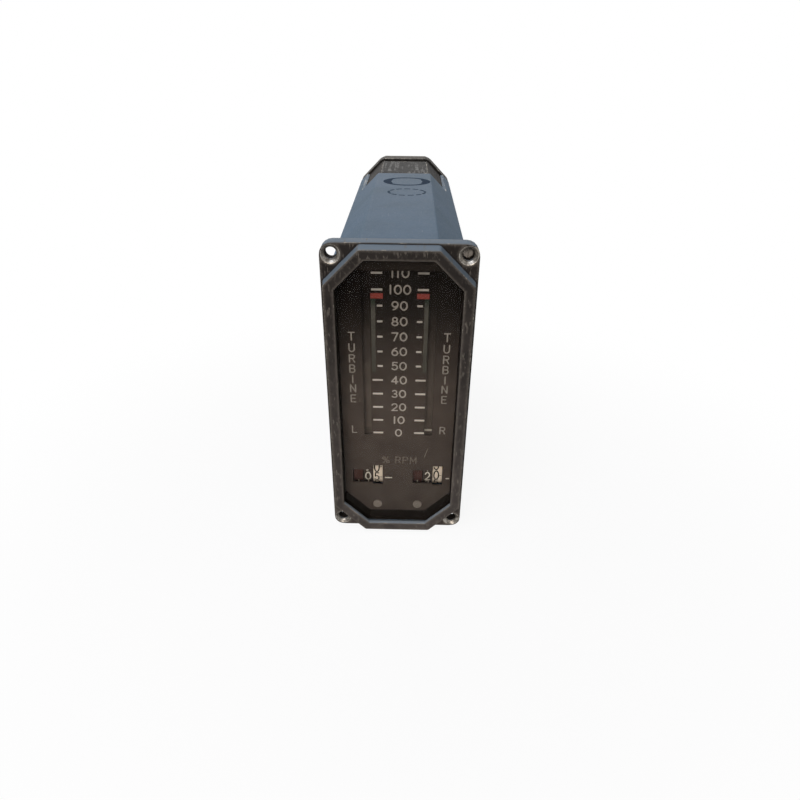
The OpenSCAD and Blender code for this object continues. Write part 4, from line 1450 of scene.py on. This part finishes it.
# Single-stroke figures and letters in units of their height, as an engraver's templates have them
FIGURES: dict[str, list[Stroke]] = {
    "0": [arc((0.36, 0.5), (0.36, 0.5), 0, 360)],
    "1": [[(0.0, 0.0), (0.0, 1.0)]],
    "2": [arc((0.33, 0.69), (0.31, 0.31), 160, -30) + [(0.02, 0.0), (0.66, 0.0)]],
    "3": [arc((0.3, 0.745), (0.26, 0.255), 150, -90), arc((0.3, 0.25), (0.31, 0.25), 90, -150)],
    "4": [[(0.52, 0.0), (0.52, 1.0), (0.0, 0.28), (0.72, 0.28)]],
    "5": [[(0.6, 1.0), (0.12, 1.0), (0.09, 0.58)] + arc((0.31, 0.33), (0.33, 0.33), 128, -150)],
    "6": [arc((0.33, 0.32), (0.32, 0.32), 0, 360), arc((0.62, 0.32), (0.61, 0.66), 180, 100)],
    "7": [[(0.0, 1.0), (0.64, 1.0), (0.22, 0.0)]],
    "8": [arc((0.33, 0.75), (0.25, 0.25), 0, 360), arc((0.33, 0.26), (0.32, 0.26), 0, 360)],
    "9": [arc((0.33, 0.68), (0.32, 0.32), 0, 360), arc((0.04, 0.68), (0.61, 0.66), 0, -80)],
    "T": [[(0.0, 1.0), (0.7, 1.0)], [(0.35, 1.0), (0.35, 0.0)]],
    "U": [[(0.0, 1.0)] + arc((0.33, 0.33), (0.33, 0.33), 180, 360) + [(0.66, 1.0)]],
    "R": [
        [(0.0, 0.0), (0.0, 1.0)],
        [(0.0, 1.0)] + arc((0.38, 0.75), (0.26, 0.25), 90, -90) + [(0.0, 0.5)],
        [(0.36, 0.5), (0.64, 0.0)]],
    "B": [
        [(0.0, 0.0), (0.0, 1.0)],
        [(0.0, 1.0)] + arc((0.36, 0.76), (0.24, 0.24), 90, -90) + [(0.0, 0.52)],
        [(0.36, 0.52)] + arc((0.38, 0.26), (0.26, 0.26), 90, -90) + [(0.0, 0.0)]],
    "I": [[(0.0, 0.0), (0.0, 1.0)]],
    "N": [[(0.0, 0.0), (0.0, 1.0), (0.64, 0.0), (0.64, 1.0)]],
    "E": [[(0.58, 1.0), (0.0, 1.0), (0.0, 0.0), (0.58, 0.0)], [(0.0, 0.52), (0.5, 0.52)]],
    "L": [[(0.0, 1.0), (0.0, 0.0), (0.55, 0.0)]],
    "P": [[(0.0, 0.0), (0.0, 1.0)],
          [(0.0, 1.0)] + arc((0.38, 0.73), (0.27, 0.27), 90, -90) + [(0.0, 0.46)]],
    "M": [[(0.0, 0.0), (0.0, 1.0), (0.39, 0.25), (0.78, 1.0), (0.78, 0.0)]],
    "%": [
        arc((0.18, 0.78), (0.18, 0.2), 0, 360), arc((0.72, 0.22), (0.18, 0.2), 0, 360),
        [(0.76, 1.0), (0.14, 0.0)]],
}


@dataclass(frozen=True)
class Lettering:
    """Sets words in the single-stroke figures. All sizes are in metres."""

    height: float
    weight: float
    gap: float
    width: float
    word_gap: float = 0.5
    bar: float = 0.3

    def word(self, text: str, middle: Point) -> list[Stroke]:
        """Set one word about its middle.

        Args:
            text: The word.
            middle: Where its middle goes, in X and Z.

        Returns:
            The word's strokes.
        """
        strokes, x = [], 0.0
        for letter in text:
            if letter == " ":
                x += self.word_gap * self.height
                continue
            figure = FIGURES[letter]
            xs = [p[0] for stroke in figure for p in stroke]
            scale = self.height * self.width
            room = max(max(xs) - min(xs), self.bar)
            left = (min(xs) + max(xs) - room) / 2
            for stroke in figure:
                strokes.append([
                    (x + (p[0] - left) * scale, (p[1] - 0.5) * self.height) for p in stroke])
            x += room * scale + self.gap + self.weight
        half = (x - self.gap - self.weight) / 2
        return [[(p[0] - half + middle[0], p[1] + middle[1]) for p in s] for s in strokes]


def smooth_runs(stroke: Stroke, corner_deg: float = 28.0) -> list[Stroke]:
    """Split a stroke at its sharp corners.

    Args:
        stroke: The stroke's points.
        corner_deg: The turn past which a point is a corner.

    Returns:
        The smooth runs between the corners.
    """
    runs, run = [], [stroke[0]]
    for before, here, after in zip(stroke, stroke[1:], stroke[2:]):
        run.append(here)
        first = Vector((here[0] - before[0], here[1] - before[1]))
        second = Vector((after[0] - here[0], after[1] - here[1]))
        if min(first.length, second.length) > TINY and first.angle(second) > math.radians(corner_deg):
            runs.append(run)
            run = [here]
    return runs + [run + [stroke[-1]]]


def drawn(strokes: Sequence[Stroke]) -> Piece:
    """Return strokes as an edge-only piece in the X-Z plane, split at their corners.

    Args:
        strokes: The strokes; one that ends where it starts is closed.

    Returns:
        A piece for a stroke tool to use up.
    """
    shape = bmesh.new()
    for stroke in strokes:
        closed = math.dist(stroke[0], stroke[-1]) < TINY
        for run in [stroke] if closed else smooth_runs(stroke):
            points = [shape.verts.new((p[0], 0, p[1])) for p in (run[:-1] if closed else run)]
            for pair in zip(points, points[1:] + points[:1] if closed else points[1:]):
                shape.edges.new(pair)
    mesh = bpy.data.meshes.new("strokes")
    shape.to_mesh(mesh)
    shape.free()
    return new_piece("strokes", mesh)


@dataclass
class ScrewHead:
    """A pan-head machine screw with a cross in its head and its shank towards -Y.

    CROWN is how high the head stands half-way in and in its middle, as shares of its height.
    """

    CROWN = (1.04, 1.06)

    radius: float
    height: float
    shank_r: float
    shank_len: float
    bar_w: float = 0.55 * MM
    bar_share: float = 0.62
    depth_share: float = 0.55
    corner: float = 0.35 * MM
    steps: int = 40

    def piece(self, name: str) -> Piece:
        """Make the screw at the origin, its head's seat on the plane Y = 0.

        Args:
            name: The piece's name.

        Returns:
            The screw.
        """
        half_way, middle = (self.height * share for share in self.CROWN)
        edge = arc(
            (self.radius - self.corner, self.height - self.corner), (self.corner, self.corner),
            0, 90, step=18)
        profile = [
            (0.0, -self.shank_len), (self.shank_r, -self.shank_len), (self.shank_r, 0.0),
            (self.radius, 0.0), *edge, (self.radius * 0.5, half_way), (0.0, middle)]
        screw = from_bmesh(name, revolved(profile, self.steps), sharp_deg=30)
        low, above = middle - self.height * self.depth_share, self.height * 1.5
        reach, half = self.radius * self.bar_share, self.bar_w / 2
        bars = [
            slab(f"{name}_bar{k}", (-x, low, -z), (x, above, z))
            for k, (x, z) in enumerate([(reach, half), (half, reach)])]
        return carved(screw, *bars)


@dataclass
class FrontBezel:
    """The cast panel flange with its eight-sided rim, and the screw end in one of its holes."""

    seat_r: float = 3.62 * MM
    seat_depth: float = 1.5 * MM
    bore_r: float = 2.25 * MM
    screw_r: float = 2.2 * MM
    screw_front: float = 4.3 * MM
    screw_back: float = 5.9 * MM
    screw_chamfer: float = 0.3 * MM
    slot_w: float = 0.5 * MM
    slot_depth: float = 0.6 * MM
    slot_reach: float = 3 * MM
    rim: Point = (29.0 * MM, 68.0 * MM)
    slant: float = 14.0 * MM
    corner_r: float = 1.4 * MM
    draft: float = 0.7 * MM
    slack: float = 0.02 * MM

    def draft_moves(self) -> list[ArcMove]:
        """Work out how the rim's foot is widened, as the draft of a casting.

        Returns:
            The moves of its eight corner arcs.
        """
        inner = self.corner_r * math.tan(math.pi / 8)
        half_x, half_z = self.rim
        corners = [
            (half_x - self.slant - inner, half_z - self.corner_r),
            (half_x - self.corner_r, half_z - self.slant - inner)]
        return [
            ArcMove(
                (i * x, k * z), self.corner_r, (i * x, k * z), self.corner_r + self.draft,
                depth=0.0)
            for x, z in corners for i, k in QUARTERS]

    def hole_places(self) -> list[Vector]:
        """Read where the four fixing holes are from the record's mount.

        Returns:
            The holes' middles, the one with the screw end last.
        """
        mount = next(m for m in frame["record"]["mounts"] if m["name"] == "panel_holes")
        x, z = (mount["dims"][key] / 2 * MM for key in ("spacing_x_mm", "spacing_y_mm"))
        return [Vector((i * x, 0, k * z)) for i, k in QUARTERS]

    def cut_at(self, middle: Vector) -> int:
        """Tell the countersinks and the bores of the fixing holes from the rest of the casting.

        Args:
            middle: A face's middle.

        Returns:
            1 in a countersink, which was cut after painting, 2 in a bore and 0 elsewhere.
        """
        away = min(math.hypot(middle.x - p.x, middle.z - p.z) for p in self.hole_places())
        if away < self.bore_r + 1.5 * self.slack:
            return 2
        return int(away < self.seat_r and self.slack < middle.y < self.seat_depth)

    def build(self) -> None:
        """Make the bezel and its screw end."""
        EdgeWork(round_mm=0.4, cell_mm=1.8, moves=self.draft_moves()).replace(
            "front_bezel", "bezel_casting", "bezel_paint", BEZEL_ENAMEL, CUT_ALUMINIUM,
            BORE_GREASE_AND_SHADE, which=self.cut_at)
        profile = [
            (0.0, self.screw_front), (self.screw_r - self.screw_chamfer, self.screw_front),
            (self.screw_r, self.screw_front + self.screw_chamfer), (self.screw_r, self.screw_back),
            (0.0, self.screw_back)]
        cutter = slab(
            "screw_slot", (-self.slot_w / 2, -MM, -self.slot_reach),
            (self.slot_w / 2, self.screw_front + self.slot_depth, self.slot_reach))
        whole = from_bmesh("fixing_screw_end", revolved(profile, steps=32), sharp_deg=30)
        end = carved(whole, cutter)
        end.data.transform(Matrix.Translation(self.hole_places()[-1]))
        hand_over(end, "root", DULL_STEEL)


@dataclass
class Window:
    """The glass with its gasket and spacer, a scratch and a little dust."""

    scratch: tuple[Point, ...] = (
        (11.9 * MM, -26.6 * MM), (12.4 * MM, -24.9 * MM), (13.5 * MM, -21.7 * MM))
    scratch_w: float = 0.22 * MM
    relief: float = 0.015 * MM
    dust_per_m2: float = 9000.0
    dust: float = 0.16 * MM
    dust_inset: float = 6 * MM
    seed: int = 7

    def build(self) -> None:
        """Dress the pane and put its marks on it."""
        dress(WINDOW_GLASS, "window_glass")
        dress(BLACK_RUBBER, "window_gasket")
        dress(MASK_BLACK, "dial_spacer")
        low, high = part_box("window_glass")
        front = low.y - self.relief
        line = FlatStrokes().run(
            "glass_scratch", drawn([list(self.scratch)]), GLASS_MARK,
            Width=self.scratch_w, Relief=self.relief, Depth=front)
        hand_over(line, "root")
        inset = self.dust_inset
        pane = from_points(
            "pane", [
                (low.x + inset, front, low.z + inset), (high.x - inset, front, low.z + inset),
                (high.x - inset, front, high.z - inset), (low.x + inset, front, high.z - inset)],
            (0, 1, 2, 3))
        grains = Specks().run(
            "glass_dust", pane, GLASS_MARK, Density=self.dust_per_m2, Size=self.dust,
            Seed=self.seed)
        hand_over(grains, "root")


@dataclass
class Dial:
    """The dial plate's paint and everything that is printed on it."""

    steps: int = 11
    relief: float = 0.03 * MM
    tick_w: float = 0.85 * MM
    long_tick: Point = (6.7 * MM, 4.4 * MM)
    short_tick: float = 2.2 * MM
    short_from: int = 5
    short_to: int = 9
    numerals: Lettering = Lettering(
        height=3.45 * MM, weight=0.66 * MM, gap=0.45 * MM, width=1.03)
    letters: Lettering = Lettering(height=3.5 * MM, weight=0.58 * MM, gap=0.7 * MM, width=0.95)
    letter_places: tuple[float, ...] = (29.1, 23.9, 18.9, 14.1, 9.1, 4.5, -0.6)
    letter_x: tuple[float, float] = (-19.6 * MM, 19.9 * MM)
    side_letter_z: float = -16.7 * MM
    unit_z: float = -33.5 * MM
    unit_x: float = 0.7 * MM
    numeral_x: float = 0.2 * MM
    red_z: Point = (45.7 * MM, 47.9 * MM)
    red_x: Point = (6.5 * MM, 11.4 * MM)
    green_low: float = 12.5 * MM
    green_x: Point = (9.6 * MM, 11.3 * MM)
    # Heights over which the green band darkens to its top, a painted shade
    green_fade: Point = (40 * MM, 47 * MM)
    pointer_x: tuple[Point, ...] = ((-6.15 * MM, -2.55 * MM), (22.5 * MM, 24.4 * MM))
    pointer_z: float = -43.9 * MM
    pointer_w: float = 0.7 * MM
    shift: tuple[float, float] = (0.0, 0.55 * MM)

    def __post_init__(self) -> None:
        """Read the dial's front and the scale from the frame."""
        self.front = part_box("dial_plate")[0].y
        low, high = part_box("index_left")
        self.zero = (low.z + high.z) / 2
        slide = next(j for j in frame["joints"] if j["name"] == "index_left_slide")
        self.pitch = slide["range_m"][1] / self.steps

    def build(self) -> None:
        """Paint the dial and print its scales, numbers and legends."""
        # Dead-black dial paint, nearly black at the top as painted shade under the rim, and brown lower down as
        # painted light
        dress(DialPaint("dead_black_paint", "#191512", "#4f4640"), "dial_plate")
        dress(SCREW_LACQUER, "dial_screws")
        self._print_scales()
        self._print_words()
        self._print_pointers()

    def _stroke(self, name: str, strokes: list[Stroke], weight: float, finish: Finish) -> None:
        """Print strokes on the dial.

        Args:
            name: The piece's name.
            strokes: What is printed.
            weight: The strokes' width.
            finish: The ink.
        """
        piece = FlatStrokes().run(
            name, drawn(strokes), finish, Width=weight, Relief=self.relief, Depth=self.front)
        hand_over(piece, "root")

    def _print_scales(self) -> None:
        """Print both ladders of ticks with their coloured ranges, and the numbers between them."""
        # White dial paints: a warm grey at the top as painted shade under the rim, and paler below as painted
        # light
        ticks_white = DialPaint("tick_white", "#a29a8f", "#cbc2b7")
        numeral_white = DialPaint("numeral_white", "#8a8279", "#aca399")
        # Green dial paint, gone brownish grey with age; its darker green top is painted shade under the rim
        green = DialPaint("green_band_paint", "#1f2c22", "#4e4b44", *self.green_fade)
        ranges = (
            ("red_limit", self.red_x, self.red_z, 1.3, LIMIT_RED, "hundreds_red"),
            ("green_band", self.green_x, (self.green_low, self.red_z[0]), 0.6, green,
             "board_green"))
        for side, shift in zip(Side, self.shift):
            ticks = TickLadder().run(
                f"dial_ticks_{side.word}", from_points("ladder", []), ticks_white,
                Zero=self.zero, Pitch=self.pitch, Inner=self.long_tick[0] + shift,
                Long=self.long_tick[1], Short=self.short_tick, Thickness=self.tick_w,
                Relief=self.relief, Depth=self.front, Sign=float(side.value),
                Count=self.steps + 1,
                **{"First short": self.short_from, "Last short": self.short_to})
            hand_over(ticks, "root")
            for name, xs, zs, layers, finish, slot in ranges:
                x0, x1 = sorted(side.value * (x + shift) for x in xs)
                thick = self.relief * layers
                mark = slab(
                    f"{name}_{side.word}", (x0, self.front - thick, zs[0]),
                    (x1, self.front + thick, zs[1]))
                hand_over(mark, "root", finish)
        numbers = []
        for step in range(self.steps + 1):
            place = (self.numeral_x, self.zero + step * self.pitch)
            numbers += self.numerals.word(str(10 * step), place)
        self._stroke("dial_numerals", numbers, self.numerals.weight, numeral_white)

    def _print_words(self) -> None:
        """Print the plain legends beside and below the scales."""
        letters = []
        for x in self.letter_x:
            for letter, z in zip("TURBINE", self.letter_places):
                letters += self.letters.word(letter, (x, z * MM))
        for letter, x in zip("LR", self.letter_x):
            letters += self.letters.word(letter, (x, self.side_letter_z))
        self._stroke("dial_legends", letters, self.letters.weight, LEGEND_WHITE)
        unit = self.letters.word("% RPM", (self.unit_x, self.unit_z))
        self._stroke("dial_unit", unit, self.letters.weight, FAINT_WHITE)

    def _print_pointers(self) -> None:
        """Print the dash beside each counter that its graduations are read against."""
        dashes = [
            [(x0 + self.tick_w / 2, self.pointer_z), (x1 - self.tick_w / 2, self.pointer_z)]
            for x0, x1 in self.pointer_x]
        self._stroke("counter_pointers", dashes, self.pointer_w, DIGIT_WHITE)


@dataclass
class Counter:
    """One drum counter: the finish of its drums, and the figures wrapped round them."""

    side: Side
    reading: int
    units_lag: float
    tens_lag: float
    relief: float = 0.035 * MM
    units_figures: Lettering = Lettering(
        height=4.85 * MM, weight=0.64 * MM, gap=0.6 * MM, width=0.64)
    figures: Lettering = Lettering(height=4.6 * MM, weight=0.62 * MM, gap=0.6 * MM, width=0.7)
    figure_shift: float = 0.5 * MM
    mark_len: float = 1.5 * MM
    mark_w: float = 0.32 * MM
    edge: float = 0.35 * MM

    def build(self) -> None:
        """Dress the drums and wrap their figures round them."""
        for drum, finish in zip(Drum, (HUNDREDS_RED, TENS_BLACK, UNITS_CREAM)):
            dress(finish, f"{drum.word}_drum_{self.side.word}")
            self._figures(drum)

    def _sequence(self, drum: Drum) -> list[str]:
        """Give the figures down a drum, from the one that stands in front.

        Args:
            drum: The drum.

        Returns:
            Ten figures. A blank is an empty text.
        """
        if drum is Drum.UNITS:
            start = self.reading // 5
            return [str(5 * ((start + k) % 2)) for k in range(10)]
        if drum is Drum.TENS:
            return [str((self.reading // 10 + k) % 10) for k in range(10)]
        return ["", "1"] + [""] * 8

    def _figures(self, drum: Drum) -> None:
        """Wrap one drum's figures, and on the last drum their graduations.

        Args:
            drum: The drum.
        """
        word = self.side.word
        low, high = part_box(f"{drum.word}_drum_{word}")
        radius = (high.y - low.y) / 2
        axis = (low + high) / 2
        pitch = 2 * math.pi * radius / 10
        units = drum is Drum.UNITS
        middle = axis.x - (self.figure_shift if units else 0)
        figures = self.units_figures if units else self.figures
        lag = self.units_lag if units else self.tens_lag
        strokes, marks = [], []
        for place, figure in enumerate(self._sequence(drum)):
            z = -place * pitch - lag
            strokes += figures.word(figure, (middle, z)) if figure else []
            if units:
                end = high.x - self.edge
                marks.append([(end - self.mark_len, z), (end, z)])
        ink = DIGIT_BLACK if units else DIGIT_WHITE
        sets = [(f"{drum.word}_digits_{word}", strokes, figures.weight)]
        sets += [(f"{drum.word}_marks_{word}", marks, self.mark_w)] if marks else []
        for name, lines, weight in sets:
            piece = DrumStrokes().run(
                name, drawn(lines), ink, Width=weight, Relief=self.relief, Radius=radius,
                Depth=axis.y, Height=axis.z)
            hand_over(piece, f"{drum.word}_{word}")


@dataclass
class Mechanism:
    """The frame, drives and electronics inside the case. Their shapes are the CAD model's own.

    An amplifier's parts change with the height on their board: cans at its foot and top, and
    resistors and capacitors between.
    """

    board: float = 1.6 * MM
    winding: float = 7 * MM
    amplifier_parts: tuple[tuple[float, str], ...] = (
        (0.0, "#a3a4a6"), (0.2, "#a06a3c"), (0.45, "#30405c"), (0.8, "#a3a4a6"))

    def build(self) -> None:
        """Dress every inner node as what it is made of."""
        # Lacquered tape: black at the top as painted shade under the rim, and brown lower down as painted light
        tape_lacquer = DialPaint("tape_lacquer", "#1c1815", "#5f564f")
        dress(MILLED_ALUMINIUM, "front_frame", "centre_plate", "side_plate_left",
              "side_plate_right")
        dress(PLATED_STEEL, "frame_posts", "idler_studs", "board_standoffs")
        dress(TURNED_BRASS, "shaft_bushes")
        for side in Side:
            word = side.word
            dress(INDEX_WHITE if side is Side.RIGHT else INDEX_PAINTED_SHADE, f"index_{word}")
            dress(tape_lacquer, f"tape_{word}")
            dress(DARK_NYLON, f"tape_drum_{word}", f"idler_pulley_{word}")
            dress(TURNED_BRASS, f"tape_shaft_{word}", f"counter_shaft_{word}",
                  f"tape_middle_gear_{word}", f"counter_middle_gear_{word}")
            dress(CUT_STEEL, f"tape_pinion_{word}", f"counter_pinion_{word}")
            dress(TURNED_STEEL, f"tape_motor_{word}", f"counter_motor_{word}")
            dress(POTENTIOMETER_GREEN, f"potentiometer_{word}")
            self._dress_amplifier(side)
        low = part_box("power_board")[0]
        # Glass-fibre board under green lacquer, with tinned tracks and grey cans
        dress(Circuitry(
            "power_board_lacquer", lacquer="#4a5a32", track="#6f7a45", inner=low.x,
            outer=low.x + self.board, parts=((low.z, "#8a8d92"), (0.0, "#7d8084"))),
            "power_board")
        low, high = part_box("transformer")
        # Varnished iron sheets between two ends of a copper winding
        dress(Laminations(
            "transformer_stack", iron="#6a665f", gap="#2e2b27", copper="#8c5a35",
            low=low.y + self.winding, high=high.y - self.winding), "transformer")

    def _dress_amplifier(self, side: Side) -> None:
        """Dress an amplifier board, whose inner face is the one nearest the middle.

        Args:
            side: The board's side.
        """
        node = f"amplifier_board_{side.word}"
        low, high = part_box(node)
        inner = low.x if side is Side.RIGHT else high.x
        parts = [(low.z + share * (high.z - low.z), colour) for share, colour in self.amplifier_parts]
        # The same board and lacquer, with plated cans, brown resistors and blue capacitors
        dress(Circuitry(
            f"amplifier_lacquer_{side.word}", lacquer="#4a5a32", track="#7c8450", inner=inner,
            outer=inner + side.value * self.board, parts=tuple(parts)), node)


@dataclass
class Case:
    """The painted sleeve with its two ink stamps, and what shows in the cut-out at its back.

    Shorter arcs inside the large stamp's line make its two sides thick. Each is given as how far it
    lies in, in millimetres, and half its angle.
    """

    ARC_DEG = 6

    stamp_relief: float = 0.02 * MM
    big_stamp: tuple[float, float, float, float] = (1.7, 121.5, 11.75, 10.0)
    small_stamp: tuple[float, float, float, float] = (1.9, 94.4, 9.25, 7.7)
    ring_w: float = 2.2 * MM
    small_ring_share: float = 0.7
    dash_share: float = 0.42
    dashes: int = 13
    thick_sides: tuple[Point, ...] = ((0.8, 46), (1.6, 32), (2.4, 20))

    def build(self) -> None:
        """Make the sleeve, the plate and the stamps."""
        EdgeWork(round_mm=0.25, cell_mm=4.0).replace(
            "case_sleeve", "case_shell", "case_paint", CASE_ENAMEL)
        EdgeWork(round_mm=0.12, cell_mm=3.0).replace(
            "data_plate", "label_plate", "plate_black", PLATE_ANODISE)
        self._stamp("stamp_oval_large", self.big_stamp, self.ring_w, None)
        self._stamp("stamp_oval_small", self.small_stamp, self.ring_w * self.small_ring_share,
                    self.dashes)

    def _stamp(
        self, name: str, oval: tuple[float, float, float, float], weight: float,
        dashes: Optional[int]
    ) -> None:
        """Print one empty oval on the top of the case.

        Args:
            name: The piece's name.
            oval: Its middle in X and Y, and its two radii, in millimetres.
            weight: The line's width in metres.
            dashes: How many dashes make the line, or None for an unbroken one.
        """
        x, y, radius_x, radius_y = (value * MM for value in oval)
        if dashes is None:
            arcs = [(radius_x, 0, 360)] + [
                (radius_x - inset * MM, side - half, side + half)
                for inset, half in self.thick_sides for side in (0, 180)]
        else:
            step = 360 / dashes
            arcs = [(radius_x, k * step, (k + self.dash_share) * step) for k in range(dashes)]
        lines = [
            arc((x, y), (across, radius_y), *span, step=self.ARC_DEG) for across, *span in arcs]
        flat = FlatStrokes().run(
            name, drawn(lines), STAMP_BLUE, Width=weight, Relief=self.stamp_relief, Depth=0.0)
        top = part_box("case_sleeve")[1].z
        # The strokes' Z becomes Y on the case's top, and their thickness points up
        flat.data.transform(Matrix(((1, 0, 0, 0), (0, 0, 1, 0), (0, -1, 0, top), (0, 0, 0, 1))))
        hand_over(flat, "root")


@dataclass
class RearEnd:
    """The rear frame, its gasket, the rear cover and the screws that hold it."""

    head_r: float = 2.6 * MM
    head_h: float = 1.6 * MM
    shank_r: float = 1.3 * MM
    shank_len: float = 14 * MM
    seed: int = 5
    slant: float = 14 * MM
    corner_r: float = 4 * MM
    wide_r: float = 8 * MM

    def corner_x(self, radius: float) -> float:
        """Return the X where an arc of this radius starts between the top and the slanted side."""
        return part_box("rear_cover")[1].x - self.slant - radius * math.tan(math.pi / 8)

    def build(self) -> None:
        """Make the castings and their screws. The cover's upper corners are wider than the case's."""
        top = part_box("rear_cover")[1].z
        EdgeWork(round_mm=0.3, cell_mm=4.0).replace(
            "rear_frame", "rear_casting", "frame_casting", FRAME_ANODISE)
        dress(BLACK_RUBBER, "rear_gasket")
        moves = [
            ArcMove(
                (side * self.corner_x(self.corner_r), top - self.corner_r), self.corner_r,
                (side * self.corner_x(self.wide_r), top - self.wide_r), self.wide_r)
            for side in (-1, 1)]
        EdgeWork(round_mm=0.6, cell_mm=2.5, moves=moves).replace(
            "rear_cover", "cover_casting", "cover_casting", COVER_ENAMEL)
        places = screw_places("rear_cover_screws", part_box("rear_cover")[1].y)
        screw = ScrewHead(self.head_r, self.head_h, self.shank_r, self.shank_len)
        FittedParts().fit(
            "cover_screws", screw.piece("cover_screw"), places, PLATED_STEEL, "screw_steel",
            turn=math.pi, seed=self.seed, replaces=["rear_cover_screws"])


@dataclass
class Connector:
    """The round connector on the rear cover, with its insert, contacts and screws.

    The pins and their collars reach a little into the insert, by root and collar_root.
    """

    collar_r: float = 0.95 * MM
    collar_top_share: float = 0.8
    collar_h: float = 0.35 * MM
    collar_root: float = 0.1 * MM
    pin_r: float = 0.5 * MM
    pin_len: float = 4 * MM
    root: float = 0.2 * MM
    head_r: float = 2.2 * MM
    head_h: float = 1.2 * MM
    shank_r: float = 1.3 * MM
    shank_len: float = 5 * MM
    cross_w: float = 0.45 * MM
    seed: int = 9

    def build(self) -> None:
        """Make the shell, the pins with their collars, and the screws."""
        EdgeWork(round_mm=0.25, cell_mm=2.0).replace(
            "connector_shell", "connector_body", "connector_shell", SHELL_NICKEL)
        dress(CONNECTOR_GREEN, "connector_insert")
        places = screw_places("connector_pins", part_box("connector_insert")[1].y)
        tip = arc((0.0, self.pin_len - self.pin_r), (self.pin_r, self.pin_r), 0, 90, step=22.5)
        pin = [(0.0, -self.root), (self.pin_r, -self.root), *tip[:-1], (0.0, self.pin_len)]
        FittedParts().fit(
            "contact_pins", from_bmesh("contact_pin", revolved(pin, steps=16)), places,
            GOLD_PLATE, "contact_gold", seed=self.seed, replaces=["connector_pins"])
        low, high = -self.collar_root, self.collar_h
        collar = [
            (0.0, low), (self.collar_r, low), (self.collar_r * self.collar_top_share, high),
            (0.0, high)]
        FittedParts().fit(
            "insert_collars", from_bmesh("pin_collar", revolved(collar, steps=20)), places,
            CONNECTOR_GREEN, "insert_green", seed=self.seed)
        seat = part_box("connector_screws")[1].y - self.head_h
        screw = ScrewHead(
            self.head_r, self.head_h, self.shank_r, self.shank_len, bar_w=self.cross_w)
        FittedParts().fit(
            "flange_screws", screw.piece("flange_screw"), screw_places("connector_screws", seat),
            PLATED_STEEL, "screw_steel", turn=math.pi, seed=self.seed,
            replaces=["connector_screws"])


@dataclass
class Studio:
    """The camera of the photograph, soft lamps, and a white floor that keeps a faint shadow."""

    place: tuple[float, float, float] = (3.6656 * MM, -218.5258 * MM, 132.4208 * MM)
    yaw: float = 0.756
    pitch: float = 30.89
    roll: float = 0.583
    lens: float = 26.8
    floor_size: float = 6.0
    aim: tuple[float, float, float] = (0, 0.06, 0)
    ambient: float = 0.19
    sky: str = "#e6ebf2"

    def build(self) -> None:
        """Make the camera, the lamps, the world and the floor."""
        data = bpy.data.cameras.new("camera")
        data.lens = self.lens
        data.sensor_width = 36.0
        data.clip_start = 0.01
        camera = new_piece("camera", data)
        camera.matrix_world = (
            Matrix.Translation(self.place)
            @ Matrix.Rotation(math.radians(self.yaw), 4, "Z")
            @ Matrix.Rotation(math.radians(90 - self.pitch), 4, "X")
            @ Matrix.Rotation(math.radians(self.roll), 4, "Z"))
        bpy.context.scene.camera = camera
        bpy.context.scene.view_settings.view_transform = "Standard"
        self._lamp("key", (-0.28, -0.35, 0.85), size=0.5, watts=4.1, colour="#e8f0ff")
        self._lamp("fill", (-0.16, -0.85, 0.5), size=0.6, watts=5.8, colour="#fff0e2")
        self._lamp("back", (-0.1, 0.85, 0.45), size=0.6, watts=2.0, colour="#fff4ea")
        self._world()
        self._floor()

    def _lamp(
        self, name: str, place: tuple[float, float, float], size: float, watts: float, colour: str
    ) -> None:
        """Add a square soft lamp that looks at the front half of the case.

        Args:
            name: The lamp's name.
            place: Where it hangs.
            size: The length of its side.
            watts: Its power.
            colour: Its colour as #rrggbb.
        """
        data = bpy.data.lights.new(name, "AREA")
        data.size = size
        data.energy = watts
        data.color = linear(colour)[:3]
        lamp = new_piece(name, data)
        lamp.location = place
        way = Vector(self.aim) - Vector(place)
        lamp.rotation_euler = way.to_track_quat("-Z", "Y").to_euler()

    def _world(self) -> None:
        """Make the world white where it shows, and a plain pale light elsewhere."""
        world = bpy.context.scene.world = bpy.data.worlds.new("studio")
        tree = empty_tree(world)
        soft = add(tree, "ShaderNodeBackground", {
            "Color": linear(self.sky), "Strength": self.ambient})
        white = add(tree, "ShaderNodeBackground", {"Color": linear("#ffffff"), "Strength": 1.0})
        mixed = add(tree, "ShaderNodeMixShader", {0: shown(tree), 1: soft, 2: white})
        add(tree, "ShaderNodeOutputWorld", {"Surface": mixed})

    def _floor(self) -> None:
        """Lay white paper under the flange's lower edge."""
        half, ground = self.floor_size / 2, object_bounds()[0].z
        floor = from_points(
            "floor", [
                (-half, -half, ground), (half, -half, ground), (half, half, ground),
                (-half, half, ground)],
            (0, 1, 2, 3))
        floor.data.materials.append(WHITE_PAPER.material())
        floor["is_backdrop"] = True


def main() -> None:
    """Build every sub-assembly in order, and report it."""
    logging.basicConfig(level=logging.INFO, format="%(name)s: %(message)s")
    for part in (
        FrontBezel(), Window(), Dial(),
        Counter(Side.LEFT, reading=5, units_lag=1.4 * MM, tens_lag=1.05 * MM),
        Counter(Side.RIGHT, reading=20, units_lag=-0.15 * MM, tens_lag=0.6 * MM),
        Mechanism(), Case(), RearEnd(), Connector(), Studio(),
    ):
        part.build()
        log.info("%s is built", type(part).__name__)


if __name__ == "__main__":
    main()
